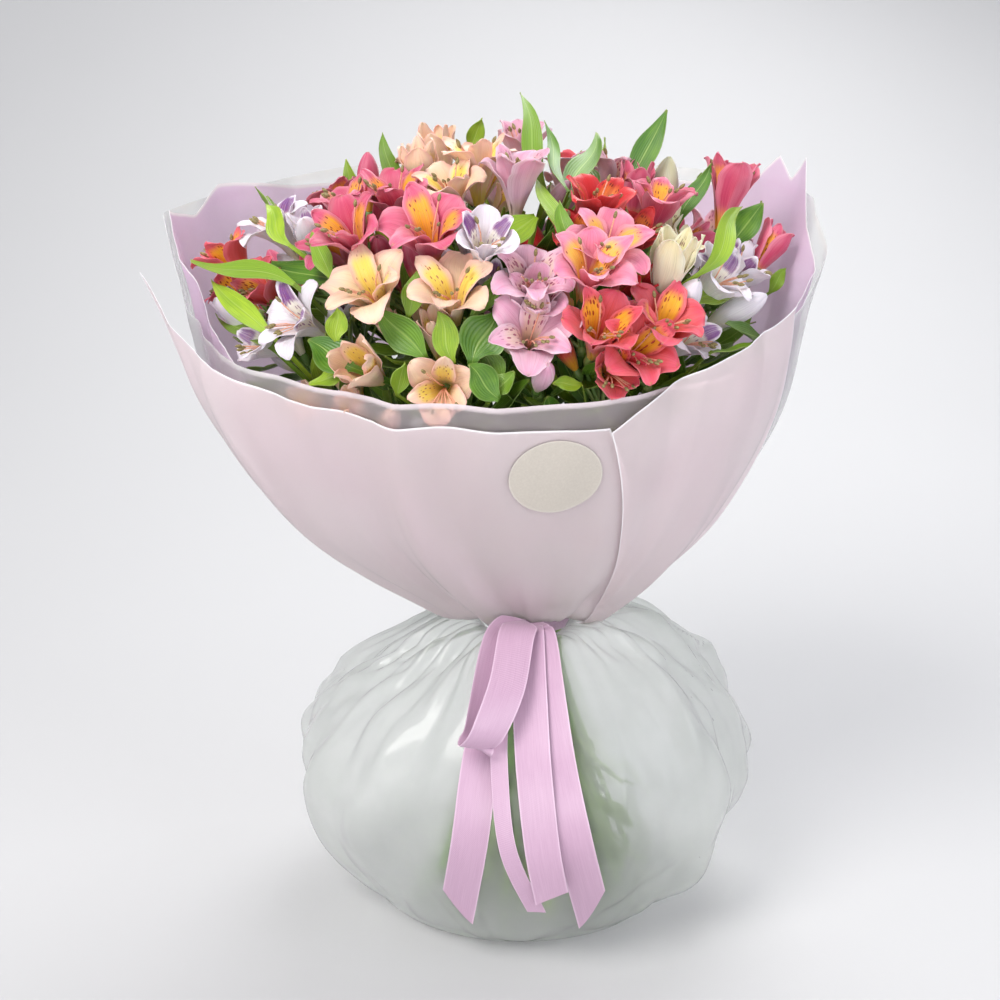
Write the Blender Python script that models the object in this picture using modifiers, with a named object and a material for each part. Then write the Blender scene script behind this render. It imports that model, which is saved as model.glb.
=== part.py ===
# A hand-tied bouquet of cut alstroemeria, standing in its frosted film bag.
# Metres, +Z up, the front towards -Y. The origin is on the table, under the tie.
# Each stem is two objects: the leafy green stem, and the umbel of blooms at its end.

import itertools
import math
import random

import bmesh
import bpy
from mathutils import Matrix, Vector
from mathutils.bvhtree import BVHTree

MM = 0.001

# The photograph's camera, in real sizes: it says where a 1000-pixel picture shows a point of the bouquet.
EYE = Vector((-17.4, -939.0, 526.0)) * MM
PITCH = math.radians(15.4)
FOCAL_PX = 1500
HALF_FRAME_PX = 500

# Driving sizes
TIE_HEIGHT = 188 * MM
BUNDLE_RADIUS = 20.5 * MM
BUNDLE_SPACING = 0.33
STALK_RADIUS = 2.0 * MM
CUT_HEIGHT = 1.75 * MM
FOOT_SPREAD = 62 * MM
DOME_CENTRE = Vector((-18, 8, 335)) * MM
DOME_REACH = Vector((176, 136, 150)) * MM
HUB_DEPTH = 52 * MM
TUBE = 28
PEDICEL_RADIUS = 1.3 * MM
ROOT_SPREAD = 3.5 * MM
RIB = 1.3 * MM
LEAF_FOOT = 1.3 * MM
CLEARANCE = 0.6 * MM
GAP = 0.3 * MM
FILM = 0.8 * MM
SHEET = 0.6 * MM
LAYER_AT_NECK = 1.1 * MM
LAYER_AT_RIM = 4.0 * MM
RIBBON_WIDTH = 22 * MM
RIBBON = 0.8 * MM
BAND_RADIUS = 28.7 * MM
BAND_HEIGHTS = (186 * MM, 193 * MM)
STICKER_RADIUS = 26.5 * MM
STICKER = 0.5 * MM
STICKER_PLACE = (10.7, 317)
STRING_RADII = (23.4 * MM, 25.0 * MM)
STRING_HEIGHTS = (186 * MM, 190 * MM)

# The film's outline, radius and height in mm: the bag from the middle of the floor up to the neck, then the collar.
BAG_OUTLINE = [(0, 0), (58, 0), (96, 0), (107, 8), (122, 26), (139, 53), (149, 86), (145, 117), (129, 146),
               (104, 171), (82, 185), (62, 191), (45, 190), (34, 185), (27, 180)]
COLLAR_OUTLINE = [(27, 195), (36, 198), (54, 203), (76, 215), (108, 238), (138, 267), (165, 307), (181, 343),
                  (188, 378), (192, 404), (200, 440), (207, 486)]
BAG_DEPTH = 0.92
BAG_SHIFT = Vector((-4, 0, 0)) * MM
COLLAR_DEPTH = 0.76
COLLAR_SHIFT = Vector((-20, 5, 0)) * MM
FOLDS = 12
FOLD = 3.2 * MM
WAVE = 3.5 * MM
KNOT_ROOM = 4 * MM

# Rim heights in mm by angle in degrees: 0 is the front, -90 the left, 90 the right.
FILM_RIM = [(-180, 477), (-150, 472), (-115, 458), (-92, 450), (-80, 392), (-60, 376), (-30, 362), (0, 357),
            (25, 360), (45, 370), (62, 388), (75, 412), (92, 459), (120, 468), (150, 474), (180, 477)]

# Each sheet of coloured paper: its place among the layers, the angles of its side edges at the foot and at the
# rim, the step of the outline that it starts from, how far its left corner leans out in mm, and its rim.
SHEETS = {
    "paper_back_left": dict(layer=-1, foot=(-150, -62), top=(-158, -52), start=1.5, flare=0, rim=[
        (-158, 462), (-135, 460), (-118, 464), (-113, 464), (-103, 446), (-92, 452), (-80, 425), (-66, 388),
        (-52, 362)]),
    "paper_back_right": dict(layer=-1, foot=(62, 150), top=(50, 158), start=1.5, flare=0, rim=[
        (50, 366), (62, 388), (72, 402), (83, 420), (90, 446), (99, 483), (106, 468), (112, 482), (122, 462),
        (158, 464)]),
    "paper_front": dict(layer=1, foot=(-88, 62), top=(-75, 20), start=0, flare=21, rim=[
        (-75, 424), (-68, 396), (-56, 371), (-40, 356), (-20, 348), (0, 345), (20, 344)]),
    "paper_front_right": dict(layer=2, foot=(50, 82), top=(20, 61), start=1.5, flare=0, rim=[
        (20, 343), (33, 371), (46, 390), (61, 403)]),
}
SHEET_COLUMNS = 9

# Where the bag and the collar bend, as steps of their outlines
BAG_STEPS = (2, 3, 4.4, 6, 7.6, 9.4, 11, 12.4, 14)
COLLAR_STEPS = (0, 1.5, 3, 4.5, 6)

# The blooms of each umbel that the photograph shows: where the throat shows in it, depth in mm behind the
# dome's surface, how open it is, its size, and how far it leans from the dome's own direction, right and up.
UMBELS = {
    "flame_front": ("flame", [(600, 332, -8, 0.7, 1.15, -5, 10), (634, 352, -4, 1.0, 1.05, 5, 0),
                              (662, 326, -4, 0.9, 1.05, 5, 15), (612, 372, 4, 0.7, 0.95, -5, -10)]),
    "peach_mid": ("peach", [(372, 292, -6, 1.0, 1.05, -5, 5), (452, 296, -2, 0.9, 1.05, 0, 10),
                            (442, 386, 6, 0.7, 1.0, 5, -15)]),
    "rose_mid": ("rose", [(430, 236, -8, 1.0, 1.15, 5, 5), (378, 264, 0, 1.0, 1.05, -5, 0)]),
    "salmon_mid": ("salmon", [(606, 250, -10, 1.0, 1.0, 0, 0), (590, 292, -6, 0.9, 1.05, -5, 10)]),
    "blush_mid": ("blush", [(541, 276, -2, 0.9, 1.0, 0, 10), (537, 302, 4, 0.7, 0.9, -5, 0),
                            (549, 336, -4, 1.0, 1.05, 0, 0), (543, 376, 2, 0.0, 0.8, 5, 10)]),
    "plum_mid": ("plum", [(463, 222, 8, 0.5, 1.0, 0, 10), (487, 268, 0, 0.9, 0.95, 15, 0),
                          (512, 284, 6, 0.8, 0.9, 5, -5)]),
    "scarlet_top": ("scarlet", [(600, 214, 0, 1.0, 1.1, 0, 10), (632, 238, 10, 0.7, 0.9, 10, 0),
                                (572, 240, 10, 0.7, 0.9, -10, 0)]),
    "plum_left": ("plum", [(300, 322, 4, 0.9, 1.0, -10, -10), (262, 352, 8, 0.8, 0.8, 0, 0),
                           (243, 316, 4, 0.3, 0.9, -25, 10)]),
    "rose_right": ("rose", [(728, 192, 0, 0.5, 1.1, 10, 20), (766, 252, 4, 0.3, 0.9, 20, 10)]),
    "plum_right": ("plum", [(722, 252, 2, 0.3, 1.1, 15, 15), (714, 283, -4, 0.9, 1.0, 5, 0),
                            (741, 279, 0, 0.6, 0.9, 10, 0), (738, 310, 2, 0.0, 1.0, 30, -10)]),
    "peach_top": ("peach", [(440, 158, 6, 0.3, 1.0, -5, 15), (420, 176, 4, 0.3, 1.0, -10, 10),
                            (478, 168, 0, 0.8, 1.05, 0, 10), (452, 192, 4, 0.8, 0.95, 0, 0)]),
    "blush_top": ("blush", [(508, 178, -4, 0.9, 1.05, 0, 10), (522, 150, 10, 0.6, 1.0, 5, 20)]),
    "rose_left": ("rose", [(352, 210, 0, 0.9, 1.0, -10, 5), (395, 203, 4, 1.0, 1.1, 5, 5),
                           (368, 180, 8, 0.0, 0.9, -15, 20), (335, 250, 8, 0.9, 0.9, -10, 0)]),
    "rose_top_right": ("rose", [(654, 214, 2, 0.8, 1.0, 5, 10), (634, 193, 14, 0.3, 0.9, 0, 15)]),
    "cream_top": ("cream", [(663, 192, 8, 0.0, 1.15, 0, 15), (664, 262, -4, 0.3, 1.15, 5, 20)]),
    "plum_top_left": ("plum", [(280, 230, -4, 1.0, 1.0, 10, 5), (316, 238, 12, 0.5, 0.9, 10, 15)]),
    "flame_left": ("flame", [(232, 262, 2, 0.8, 1.0, -10, 10), (225, 295, 6, 0.9, 0.9, -10, 0),
                             (268, 293, 10, 1.0, 1.0, 10, 0)]),
    "plum_low_right": ("plum", [(694, 330, -2, 0.8, 0.85, 10, 0), (677, 304, 2, 0.0, 1.0, 0, 10)]),
    "peach_front": ("peach", [(363, 378, 4, 0.3, 1.15, 0, 0), (300, 404, 14, 0.6, 0.9, -5, -10)]),
}

# The umbels on the far side of the dome: variety, angle, and share of the dome's width.
FAR_UMBELS = {
    "rose_back_left": ("rose", -128, 0.80),
    "peach_back": ("peach", -160, 0.62),
    "plum_back": ("plum", 172, 0.86),
    "flame_back_right": ("flame", 138, 0.78),
    "blush_back_right": ("blush", 122, 0.60),
}
FAR_BLOOMS = 4

# Leaves that the photograph shows: where the blade's foot shows in it and the foot's depth in mm behind the
# dome, the same for the tip, and the width in mm.
LEAVES = [
    (545, 190, 4, 520, 93, 4, 13), (570, 198, 8, 597, 133, 8, 16), (574, 216, 0, 541, 151, 0, 15),
    (628, 188, 12, 667, 110, 10, 16), (602, 196, 14, 587, 153, 14, 16), (690, 226, 2, 735, 146, 0, 12),
    (730, 246, -2, 763, 203, -4, 18), (470, 152, 16, 482, 118, 16, 11), (560, 252, -6, 520, 168, -8, 11),
    (536, 216, 2, 484, 250, -2, 21), (556, 264, -8, 547, 211, -10, 17), (482, 364, -2, 514, 298, -10, 27),
    (425, 358, 0, 366, 297, -10, 20), (443, 366, 0, 424, 303, -8, 19), (408, 317, 0, 418, 271, -8, 13),
    (354, 368, 2, 308, 340, -6, 23), (337, 342, 4, 337, 308, -2, 13), (344, 298, -2, 245, 262, -14, 17),
    (325, 288, 2, 236, 272, -6, 14), (285, 342, 2, 219, 277, -4, 17), (277, 352, 6, 216, 314, 2, 13),
    (472, 312, -4, 513, 255, -12, 12), (530, 312, 0, 520, 288, -6, 12), (700, 345, 0, 742, 336, -4, 15),
    (688, 303, 0, 739, 285, -8, 17), (668, 288, 2, 698, 232, 0, 13), (634, 312, 4, 639, 262, 2, 6),
    (632, 318, 4, 621, 287, 2, 12), (500, 400, 4, 470, 366, -2, 19), (492, 396, 2, 515, 370, -4, 12),
    (496, 390, 4, 467, 352, 0, 16), (348, 370, 6, 309, 384, 2, 14), (407, 398, 4, 415, 366, -4, 12),
    (582, 384, 4, 553, 384, 0, 9), (754, 332, 4, 713, 318, 0, 16), (769, 293, 4, 786, 268, 2, 9),
    (346, 280, -2, 329, 236, -6, 12), (310, 262, 8, 300, 232, 6, 12),
]
FAR_LEAVES = 15
INNER_LEAVES = 14

# The strands of the ribbon: width as a share of the ribbon's, then its line as mm to the right, mm down the bag
# from the neck, and mm out from the bag.
STRANDS = {
    "left_tail": (1.0, [(-3, 8, 5), (-6, 30, 5), (-10, 48, 4), (-17, 90, 3), (-25, 134, 2), (-32, 178, 2), (-41, 232, 9)]),
    "right_tail": (1.0, [(3, 8, 5), (5, 30, 6), (8, 48, 7), (14, 90, 6), (18, 134, 5), (26, 178, 4), (37, 240, 10)]),
    "middle_tail": (0.95, [(0, 8, 6), (1, 30, 8), (1, 48, 10), (2, 90, 8.5), (3, 134, 7.5), (8, 178, 6), (13, 212, 9)]),
    "thin_tail": (0.4, [(-2, 8, 7), (-3, 30, 10), (-4, 48, 13), (-7, 100, 8), (-8, 134, 6), (-3, 178, 6), (11, 222, 10)]),
    "loop": (1.0, [(-4, 8, 7), (-9, 30, 8), (-17, 62, 10), (-24, 104, 9), (-30, 129, 12), (-21, 139, 19),
                   (-8, 124, 21), (-3, 84, 18), (0, 44, 16), (0, 8, 8)]),
}

COLOURS = {
    "rose": (0.72, 0.10, 0.30), "flame": (0.80, 0.12, 0.05), "scarlet": (0.55, 0.01, 0.02),
    "peach": (0.90, 0.55, 0.36), "blush": (0.86, 0.62, 0.60), "plum": (0.70, 0.55, 0.66),
    "salmon": (0.84, 0.25, 0.20), "cream": (0.80, 0.80, 0.52), "leaf": (0.12, 0.30, 0.05),
    "film": (0.80, 0.80, 0.82), "paper": (0.70, 0.52, 0.66), "ribbon": (0.78, 0.56, 0.68),
    "sticker": (0.88, 0.86, 0.88), "string": (0.60, 0.52, 0.36),
}


def smooth(t):
    t = min(max(t, 0.0), 1.0)
    return t * t * (3 - 2 * t)


def mix(a, b, t):
    return a + (b - a) * t


def through(points, t):
    """A point on the smooth curve through points, where t counts points."""
    last = len(points) - 1
    i = min(max(int(t), 0), last - 1)
    f = min(max(t - i, 0.0), 1.0)
    p0, p1, p2, p3 = (points[min(max(k, 0), last)] for k in (i - 1, i, i + 1, i + 2))
    return tuple(0.5 * (2 * b + (c - a) * f + (2 * a - 5 * b + 4 * c - d) * f ** 2 + (3 * b - 3 * c + d - a) * f ** 3)
                 for a, b, c, d in zip(p0, p1, p2, p3))


def height_at(rim, angle):
    """The rim's height in mm at an angle in degrees, straight between its points."""
    for (a0, h0), (a1, h1) in zip(rim, rim[1:]):
        if a0 <= angle <= a1:
            return mix(h0, h1, (angle - a0) / (a1 - a0))
    return rim[0][1] if angle < rim[0][0] else rim[-1][1]


# Where the photograph shows a thing

def sight(px, py):
    """The direction in which the camera sees a pixel."""
    right = (px - HALF_FRAME_PX) / FOCAL_PX
    up = (HALF_FRAME_PX - py) / FOCAL_PX
    return Vector((right, math.cos(PITCH) + up * math.sin(PITCH), up * math.cos(PITCH) - math.sin(PITCH)))


def dome_scaled(way):
    return Vector([w / r for w, r in zip(way, DOME_REACH)])


def dome_point(flat_x, flat_y, share=1.0):
    """The dome's point over a place in its plan, where its plan is a unit disc, or the same deeper in."""
    up = math.sqrt(max(1 - flat_x ** 2 - flat_y ** 2, 0.02))
    return DOME_CENTRE + Vector((flat_x, flat_y, up)) * DOME_REACH * share


def on_dome(px, py, depth):
    """The place on the dome of blooms that shows at a pixel, or where the line of sight passes nearest to it."""
    way = sight(px, py)
    scaled, start = dome_scaled(way), dome_scaled(EYE - DOME_CENTRE)
    a, b, c = scaled.dot(scaled), scaled.dot(start), start.dot(start) - 1
    root = math.sqrt(max(b * b - a * c, 0.0))
    return EYE + way * ((-b - root) / a) + way.normalized() * depth


def dome_normal(place):
    return dome_scaled(dome_scaled(place - DOME_CENTRE)).normalized()


# The film bag, the collar and its sheets, by angle in degrees and by t, which counts an outline's points

def outline_point(outline, t, layer):
    """Radius and height in metres on an outline, stood off outwards by layer."""
    r, z = through(outline, t)
    r0, z0 = through(outline, t - 0.05)
    r1, z1 = through(outline, t + 0.05)
    run = math.hypot(r1 - r0, z1 - z0)
    return r * MM + layer * (z1 - z0) / run, z * MM - layer * (r1 - r0) / run


def knot_room(angle, r):
    """How far the bag's shoulder and the collar part in front, where the ribbon comes out between them."""
    front = max(0.0, math.cos(math.radians(angle))) ** 2
    return KNOT_ROOM * front * smooth(1 - abs(r - 42 * MM) / (26 * MM))


def wave(angle, t):
    """The soft waves of the collar, which grow towards its rim."""
    turn = math.radians(angle)
    return WAVE * (math.sin(5 * turn + 2.5) + 0.6 * math.sin(8 * turn - 1.6)) * smooth((t - 2) / 8)


def collar_point(angle, t, stand=0.0):
    r, z = outline_point(COLLAR_OUTLINE, t, stand)
    z += knot_room(angle, r)
    r += wave(angle, t)
    wide = smooth((r - 0.03) / 0.05)
    shift = COLLAR_SHIFT * smooth((r - 0.03) / 0.18)
    turn = math.radians(angle)
    return Vector((r * math.sin(turn), -r * mix(1, COLLAR_DEPTH, wide) * math.cos(turn), z)) + shift


def bag_point(angle, t, stand=0.0):
    r, z = outline_point(BAG_OUTLINE, t, stand)
    z -= knot_room(angle, r)
    wide = smooth((r - 0.03) / 0.06)
    turn = math.radians(angle)
    return Vector((r * math.sin(turn), -r * mix(1, BAG_DEPTH, wide) * math.cos(turn), z)) + BAG_SHIFT * wide


def collar_step(height):
    """How far along the collar's outline a height in mm is reached."""
    low, high = 0.0, float(len(COLLAR_OUTLINE) - 1)
    for _ in range(30):
        middle = (low + high) / 2
        low, high = (middle, high) if through(COLLAR_OUTLINE, middle)[1] < height else (low, middle)
    return low


def fold_angles():
    """Ridges and valleys of the gathered film in turn, unevenly spread."""
    draw = random.Random(4)
    step = 180 / FOLDS
    return [(k + draw.uniform(-0.12, 0.12)) * step - 180 for k in range(2 * FOLDS)]


def fold_depth(column, t):
    """How far a ridge of the bag stands out or a valley lies in: deepest on the shoulder, none at the foot."""
    shoulder = max(0.0, 1 - abs(t - 8.5) / 5.5)
    return (1 if column % 2 else -1) * FOLD * smooth(shoulder * 1.4)


def inside_film(angle, t, stand):
    """A point stood off from the film's own flat facets, for a layer on their inner side."""
    angles = fold_angles()
    k = next(k for k in range(len(angles) - 1) if angle <= angles[k + 1])
    share = (angle - angles[k]) / (angles[k + 1] - angles[k])
    return collar_point(angles[k], t, stand).lerp(collar_point(angles[k + 1], t, stand), share)


def grid_faces(columns, rows, ring):
    """Faces of a grid of points, listed column by column. A ring closes on itself."""
    faces = []
    for c in range(columns if ring else columns - 1):
        for r in range(rows - 1):
            a, b = c * rows + r, (c + 1) % columns * rows + r
            faces.append((a, b, b + 1, a + 1))
    return faces


def rows_to(top):
    """The steps of the outline where the collar's layers bend: the same for all of them, up to each one's rim."""
    return [*COLLAR_STEPS, mix(COLLAR_STEPS[-1], top, 0.5), top]


def film_surface():
    """The film: its flat foot, up the bag, through the neck and out to the collar's rim."""
    points = []
    angles = fold_angles()
    for column, angle in enumerate(angles):
        points += [bag_point(angle, t, fold_depth(column, t)) for t in BAG_STEPS]
        steps = rows_to(collar_step(height_at(FILM_RIM, angle)))
        points += [collar_point(angle, t) for t in steps]
    rows = len(BAG_STEPS) + len(steps)
    faces = grid_faces(len(angles), rows, True)
    faces.append(tuple(c * rows for c in range(len(angles))))
    return points, faces


def sheet_surface(sheet):
    """A sheet of paper on the collar, from its foot to its rim, column by column from its left edge."""
    points = []
    for column in range(SHEET_COLUMNS + 1):
        u = column / SHEET_COLUMNS
        top = collar_step(height_at(sheet["rim"], mix(*sheet["top"], u)))
        steps = [t for t in rows_to(top) if t >= sheet["start"]]
        for t in steps:
            up = t / top
            stand = sheet["layer"] * mix(LAYER_AT_NECK, LAYER_AT_RIM, min(t / 8, 1))
            if stand < 0:
                stand -= FILM / 2
            corner = sheet["flare"] * MM * max(0.0, 1 - u * 5) * up ** 4
            angle = mix(mix(*sheet["foot"], u), mix(*sheet["top"], u), up)
            points.append((collar_point if stand > 0 else inside_film)(angle, t, stand + corner))
    return points, grid_faces(SHEET_COLUMNS + 1, len(steps), False)


# Closed shapes of blooms, stalks and leaves, as points and faces

def frame_of(axis, spin=0.0):
    """A turn that takes +Z to axis, after a spin in degrees about it."""
    return axis.to_track_quat("Z", "Y").to_matrix() @ Matrix.Rotation(math.radians(spin), 3, "Z")


def loft(rings):
    """A closed skin over rings of points, each as many as its neighbour's or a share of them. Ends are capped."""
    points, faces, starts = [], [], []
    for ring in rings:
        starts.append(len(points))
        points += ring
    for (low, high), (a, b) in zip(zip(rings, rings[1:]), zip(starts, starts[1:])):
        sides = max(len(low), len(high))
        for k in range(sides):
            j = (k + 1) % sides
            corners = [start + i * len(ring) // sides for ring, start, i in
                       ((low, a, k), (low, a, j), (high, b, j), (high, b, k))]
            faces.append(tuple(dict.fromkeys(corners)))
    for ring, start in ((rings[0], starts[0]), (rings[-1], starts[-1])):
        if len(ring) > 1:
            faces.append(tuple(range(start, start + len(ring))))
    return points, faces


def circle(centre, frame, radius, sides=6, turned=0.5):
    turns = [math.tau * (k + turned) / sides for k in range(sides)]
    return [centre + frame @ Vector((radius * math.cos(a), radius * math.sin(a), 0)) for a in turns]


def pedicel_rings(bloom, hub):
    """The rings of a bloom's own stalk, from inside the hub to the bloom's base."""
    base = bloom["throat"] - bloom["axis"] * TUBE * bloom["size"] * MM
    way = (base - hub).normalized()
    along = bloom["axis"].rotation_difference(way).to_matrix() @ bloom["frame"]
    stem_way = (hub - Vector((0, 0, TIE_HEIGHT))).normalized()
    root = hub + (way - stem_way * way.dot(stem_way)) * ROOT_SPREAD
    return [circle(root, along, PEDICEL_RADIUS, 3, 0.5), circle(base, bloom["frame"], 2.0 * MM)]


def bud_shape(bloom, hub):
    size = bloom["size"] * MM
    rings = pedicel_rings(bloom, hub)
    for radius, height in ((6.0, -14), (7.8, 0), (5.5, 11)):
        rings.append(circle(bloom["throat"] + bloom["axis"] * height * size, bloom["frame"], radius * size))
    return loft([*rings, [bloom["throat"] + bloom["axis"] * 19 * size]])


def open_shape(bloom, hub):
    """An open bloom: its stalk, a tube that widens to the throat, and six ribbed tepals round it."""
    size, opened = bloom["size"] * MM, bloom["open"]
    place, frame = bloom["throat"], bloom["frame"]
    rim = mix(5.5, 6.5, opened)
    under = circle(place - bloom["axis"] * 1.2 * size, frame, (rim + 0.6) * size)
    points, faces = loft([*pedicel_rings(bloom, hub), under])
    faces.pop()
    low = len(points) - 6
    top = len(points)
    points += circle(place, frame, rim * size)
    throat = len(points)
    points.append(place - bloom["axis"] * 9 * size)
    for k in range(6):
        a, b, wa, wb = top + k, top + (k + 1) % 6, low + k, low + (k + 1) % 6
        broad = k % 2 == 0
        belly = mix(8.5, 17 if broad else 14, opened)
        half = min(mix(4.5, 9.0 if broad else 6.2, opened), belly * (0.62 if broad else 0.48))
        rise = mix(12, 6 if broad else 9, opened)
        tip = Vector((mix(8, 27 if broad else 24, opened), 0, mix(26, 6 if broad else 13, opened)))
        blunt = mix(1.6, 4.0, opened) if broad else 0
        turn = frame @ Matrix.Rotation(math.radians(60 * k + 60), 3, "Z")
        spots = [(belly, -half, rise), (belly, half, rise), (belly, 0, rise - 1.4), (tip.x, -blunt, tip.z)]
        spots += [(tip.x, blunt, tip.z)] * broad
        first = len(points)
        points += [place + turn @ Vector(spot) * size for spot in spots]
        points.append(points[first + 2] - turn @ Vector((mix(-0.8, 0.0, opened), 0, 1)) * RIB)
        left, right, rib, end, last = first, first + 1, first + 2, first + 3, len(points) - 2
        keel = len(points) - 1
        for middle, p, q in ((rib, a, b), (keel, wa, wb)):
            faces += [(p, q, middle), (p, middle, left), (q, right, middle), (left, middle, end),
                      (middle, right, last)]
            if broad:
                faces.append((middle, last, end))
        faces += [(a, left, wa), (b, wb, right), (a, b, throat)]
    return points, faces


def bloom_shape(bloom, hub):
    return open_shape(bloom, hub) if bloom["open"] > 0 else bud_shape(bloom, hub)


def leaf_shape(leaf, foot=True):
    """A leaf: a slim foot that starts inside its stalk, then the blade, folded along its rib, to the tip."""
    low, tip, face = leaf["low"], leaf["tip"], leaf["face"]
    middle = (low + tip) / 2 + face * (tip - low).length * leaf["arch"]
    spine = []
    for t, share in ((0, 0.2), (0.32, 0.95), (0.68, 0.74)):
        centre = low * (1 - t) ** 2 + middle * 2 * t * (1 - t) + tip * t ** 2
        way = ((middle - low) * (1 - t) + (tip - middle) * t).normalized()
        spine.append((centre, way, way.cross(face).normalized(), leaf["width"] / 2 * share))
    if foot:  # it turns into the blade at a mitred ring, without a twist
        _, way, side, half = spine[0]
        along = (low - leaf["foot"]).normalized()
        mitre = (along + way).normalized()
        spine[0] = (low, mitre, way.rotation_difference(mitre) @ side, half)
        spine.insert(0, (leaf["foot"], along, way.rotation_difference(along) @ side, LEAF_FOOT))
    rings = []
    for centre, way, side, half in spine:
        out = side.cross(way).normalized()
        half = max(half, LEAF_FOOT)
        rib = centre - out * half * 0.25
        rings.append([centre - side * half, rib, centre + side * half, rib - out * RIB])
    return loft([*rings, [tip]])


def hub_shape(umbel):
    """The knob where the blooms' stalks meet, whose flat underside lies on the stem."""
    frame, hub, way = frame_of(umbel["way"]), umbel["hub"], umbel["way"]
    return loft([circle(hub + way * h * MM, frame, r * MM) for h, r in ((-4, 2.4), (1.5, 3.6))])


# Keeping neighbours clear of each other

def grown(shape, by):
    """The shape with every point moved outwards, for testing what it would come too close to."""
    bm = bmesh.new()
    corners = [bm.verts.new(p) for p in shape[0]]
    for face in shape[1]:
        bm.faces.new([corners[i] for i in face])
    bmesh.ops.recalc_face_normals(bm, faces=bm.faces)
    bm.normal_update()
    points = [v.co + v.normal * by for v in bm.verts]
    bm.free()
    return points, shape[1]


def body_of(shapes, by=CLEARANCE):
    """One search tree over several shapes, with the corners of its box."""
    points, faces = [], []
    for shape in shapes:
        more, its_faces = grown(shape, by)
        base = len(points)
        points += more
        faces += [tuple(i + base for i in face) for face in its_faces]
    low = Vector([min(p[k] for p in points) for k in range(3)])
    high = Vector([max(p[k] for p in points) for k in range(3)])
    return BVHTree.FromPolygons(points, faces), low, high


def crossings(body, others):
    """How many pairs of faces cross between a body and the others."""
    tree, low, high = body
    found = 0
    for other, other_low, other_high in others:
        if all(low[k] < other_high[k] and other_low[k] < high[k] for k in range(3)):
            found += len(tree.overlap(other))
    return found


def wrap_bodies():
    """Both sides of the film and of each sheet, as search trees."""
    bodies = []
    for surface in [film_surface(), *(sheet_surface(s) for s in SHEETS.values())]:
        bodies += [body_of([surface], side) for side in (-1.2 * MM, 1.2 * MM)]
    return bodies


# The planting plan: where each stalk, bloom and leaf goes

def new_bloom(place, axis, opened, size, spin):
    return dict(throat=place, axis=axis, open=opened, size=size, spin=spin, frame=frame_of(axis, spin))


def leaning(place, right, up):
    """The direction that a bloom faces: out of the dome, a little lifted, then turned by the two angles."""
    way = (dome_normal(place) + Vector((0, 0, 0.25))).normalized()
    side = way.cross(Vector((0, 0, 1)))
    side = side.normalized() if side.length > 0.2 else Vector((1, 0, 0))
    way.rotate(Matrix.Rotation(math.radians(up), 3, side))
    way.rotate(Matrix.Rotation(math.radians(right), 3, "Z"))
    return way.normalized()


def wished_umbels():
    """Every umbel with its blooms where the photograph shows them, and the far side filled in by rule."""
    umbels = {}
    for name, (variety, blooms) in UMBELS.items():
        made = []
        for k, (px, py, depth, opened, size, right, up) in enumerate(blooms):
            place = on_dome(px, py, depth * MM)
            made.append(new_bloom(place, leaning(place, right, up), opened, size, 25 * k))
        umbels[name] = dict(variety=variety, blooms=made)
    draw = random.Random(11)
    for name, (variety, angle, share) in FAR_UMBELS.items():
        made = []
        for k in range(FAR_BLOOMS):
            turn = math.radians(angle + (k % 2 - 0.5) * 24 / share)
            out = min(share + (k // 2 - 0.5) * 0.36, 0.88)
            place = dome_point(out * math.sin(turn), -out * math.cos(turn))
            axis = leaning(place, draw.uniform(-8, 8), draw.uniform(-5, 10))
            opened = 0.0 if k == 3 else draw.uniform(0.75, 1.0)
            made.append(new_bloom(place, axis, opened, draw.uniform(0.92, 1.05), draw.uniform(0, 60)))
        umbels[name] = dict(variety=variety, blooms=made)
    return umbels


def spread_leans(leans):
    """The places of the stalks in the bundle, as points in a unit disc, eased apart to the bundle's spacing."""
    for _ in range(400):
        for i, a in enumerate(leans):
            for b in leans[:i]:
                between = a - b
                short = BUNDLE_SPACING * 1.03 - between.length
                if short > 0:
                    a += between.normalized() * short * 0.5
                    b -= between.normalized() * short * 0.5
        for a in leans:
            if a.length > 1:
                a.normalize()


def stalk_line(lean, hub):
    """A stalk's points from its cut end, through the twist of the tie, to just under its hub."""
    across = Vector((-lean.y, lean.x, 0)) * BUNDLE_RADIUS
    rise = hub.z - TIE_HEIGHT
    points = []
    for height in (CUT_HEIGHT, 70 * MM, TIE_HEIGHT - 22 * MM, TIE_HEIGHT, TIE_HEIGHT + 26 * MM):
        if height < TIE_HEIGHT:
            out = -FOOT_SPREAD * (TIE_HEIGHT - height) / TIE_HEIGHT
        else:
            out = Vector((hub.x, hub.y)).length * (height - TIE_HEIGHT) / rise / max(lean.length, 0.3)
        points.append(lean * out + across + Vector((0, 0, height)))
    way = (hub - points[-1]).normalized()
    return [*points, hub - way * (4 * MM + GAP)], way


def stalk_rods(umbel):
    line = umbel["line"]
    return [loft([circle(p, frame_of(b - a), STALK_RADIUS, 4) for p in (a, b)]) for a, b in zip(line, line[1:])]


def near(body, others, reach=14 * MM):
    """Those of the other bodies whose boxes come within reach of a body's."""
    low, high = body[1], body[2]
    return [o for o in others if all(low[k] - reach < o[2][k] and o[1][k] < high[k] + reach for k in range(3))]


def bloom_trials():
    """Changes to a bloom, the smallest first: size, openness, mm towards the hub, mm sideways, and spin."""
    slides = [(0, 0), (5, 0), (-5, 0), (0, 5), (0, -5), (9, 4), (-9, 4), (4, -9), (-4, -9)]
    trials = itertools.product((1, 0.92, 0.84, 0.72), (1, 0.75), (0, 5, -5, 10, -10, 16), slides, (0, 30))
    return sorted(trials, key=lambda c: 55 * (1 - c[0]) + 12 * (1 - c[1]) + abs(c[2]) + math.hypot(*c[3]) + c[4] / 60)


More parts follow.
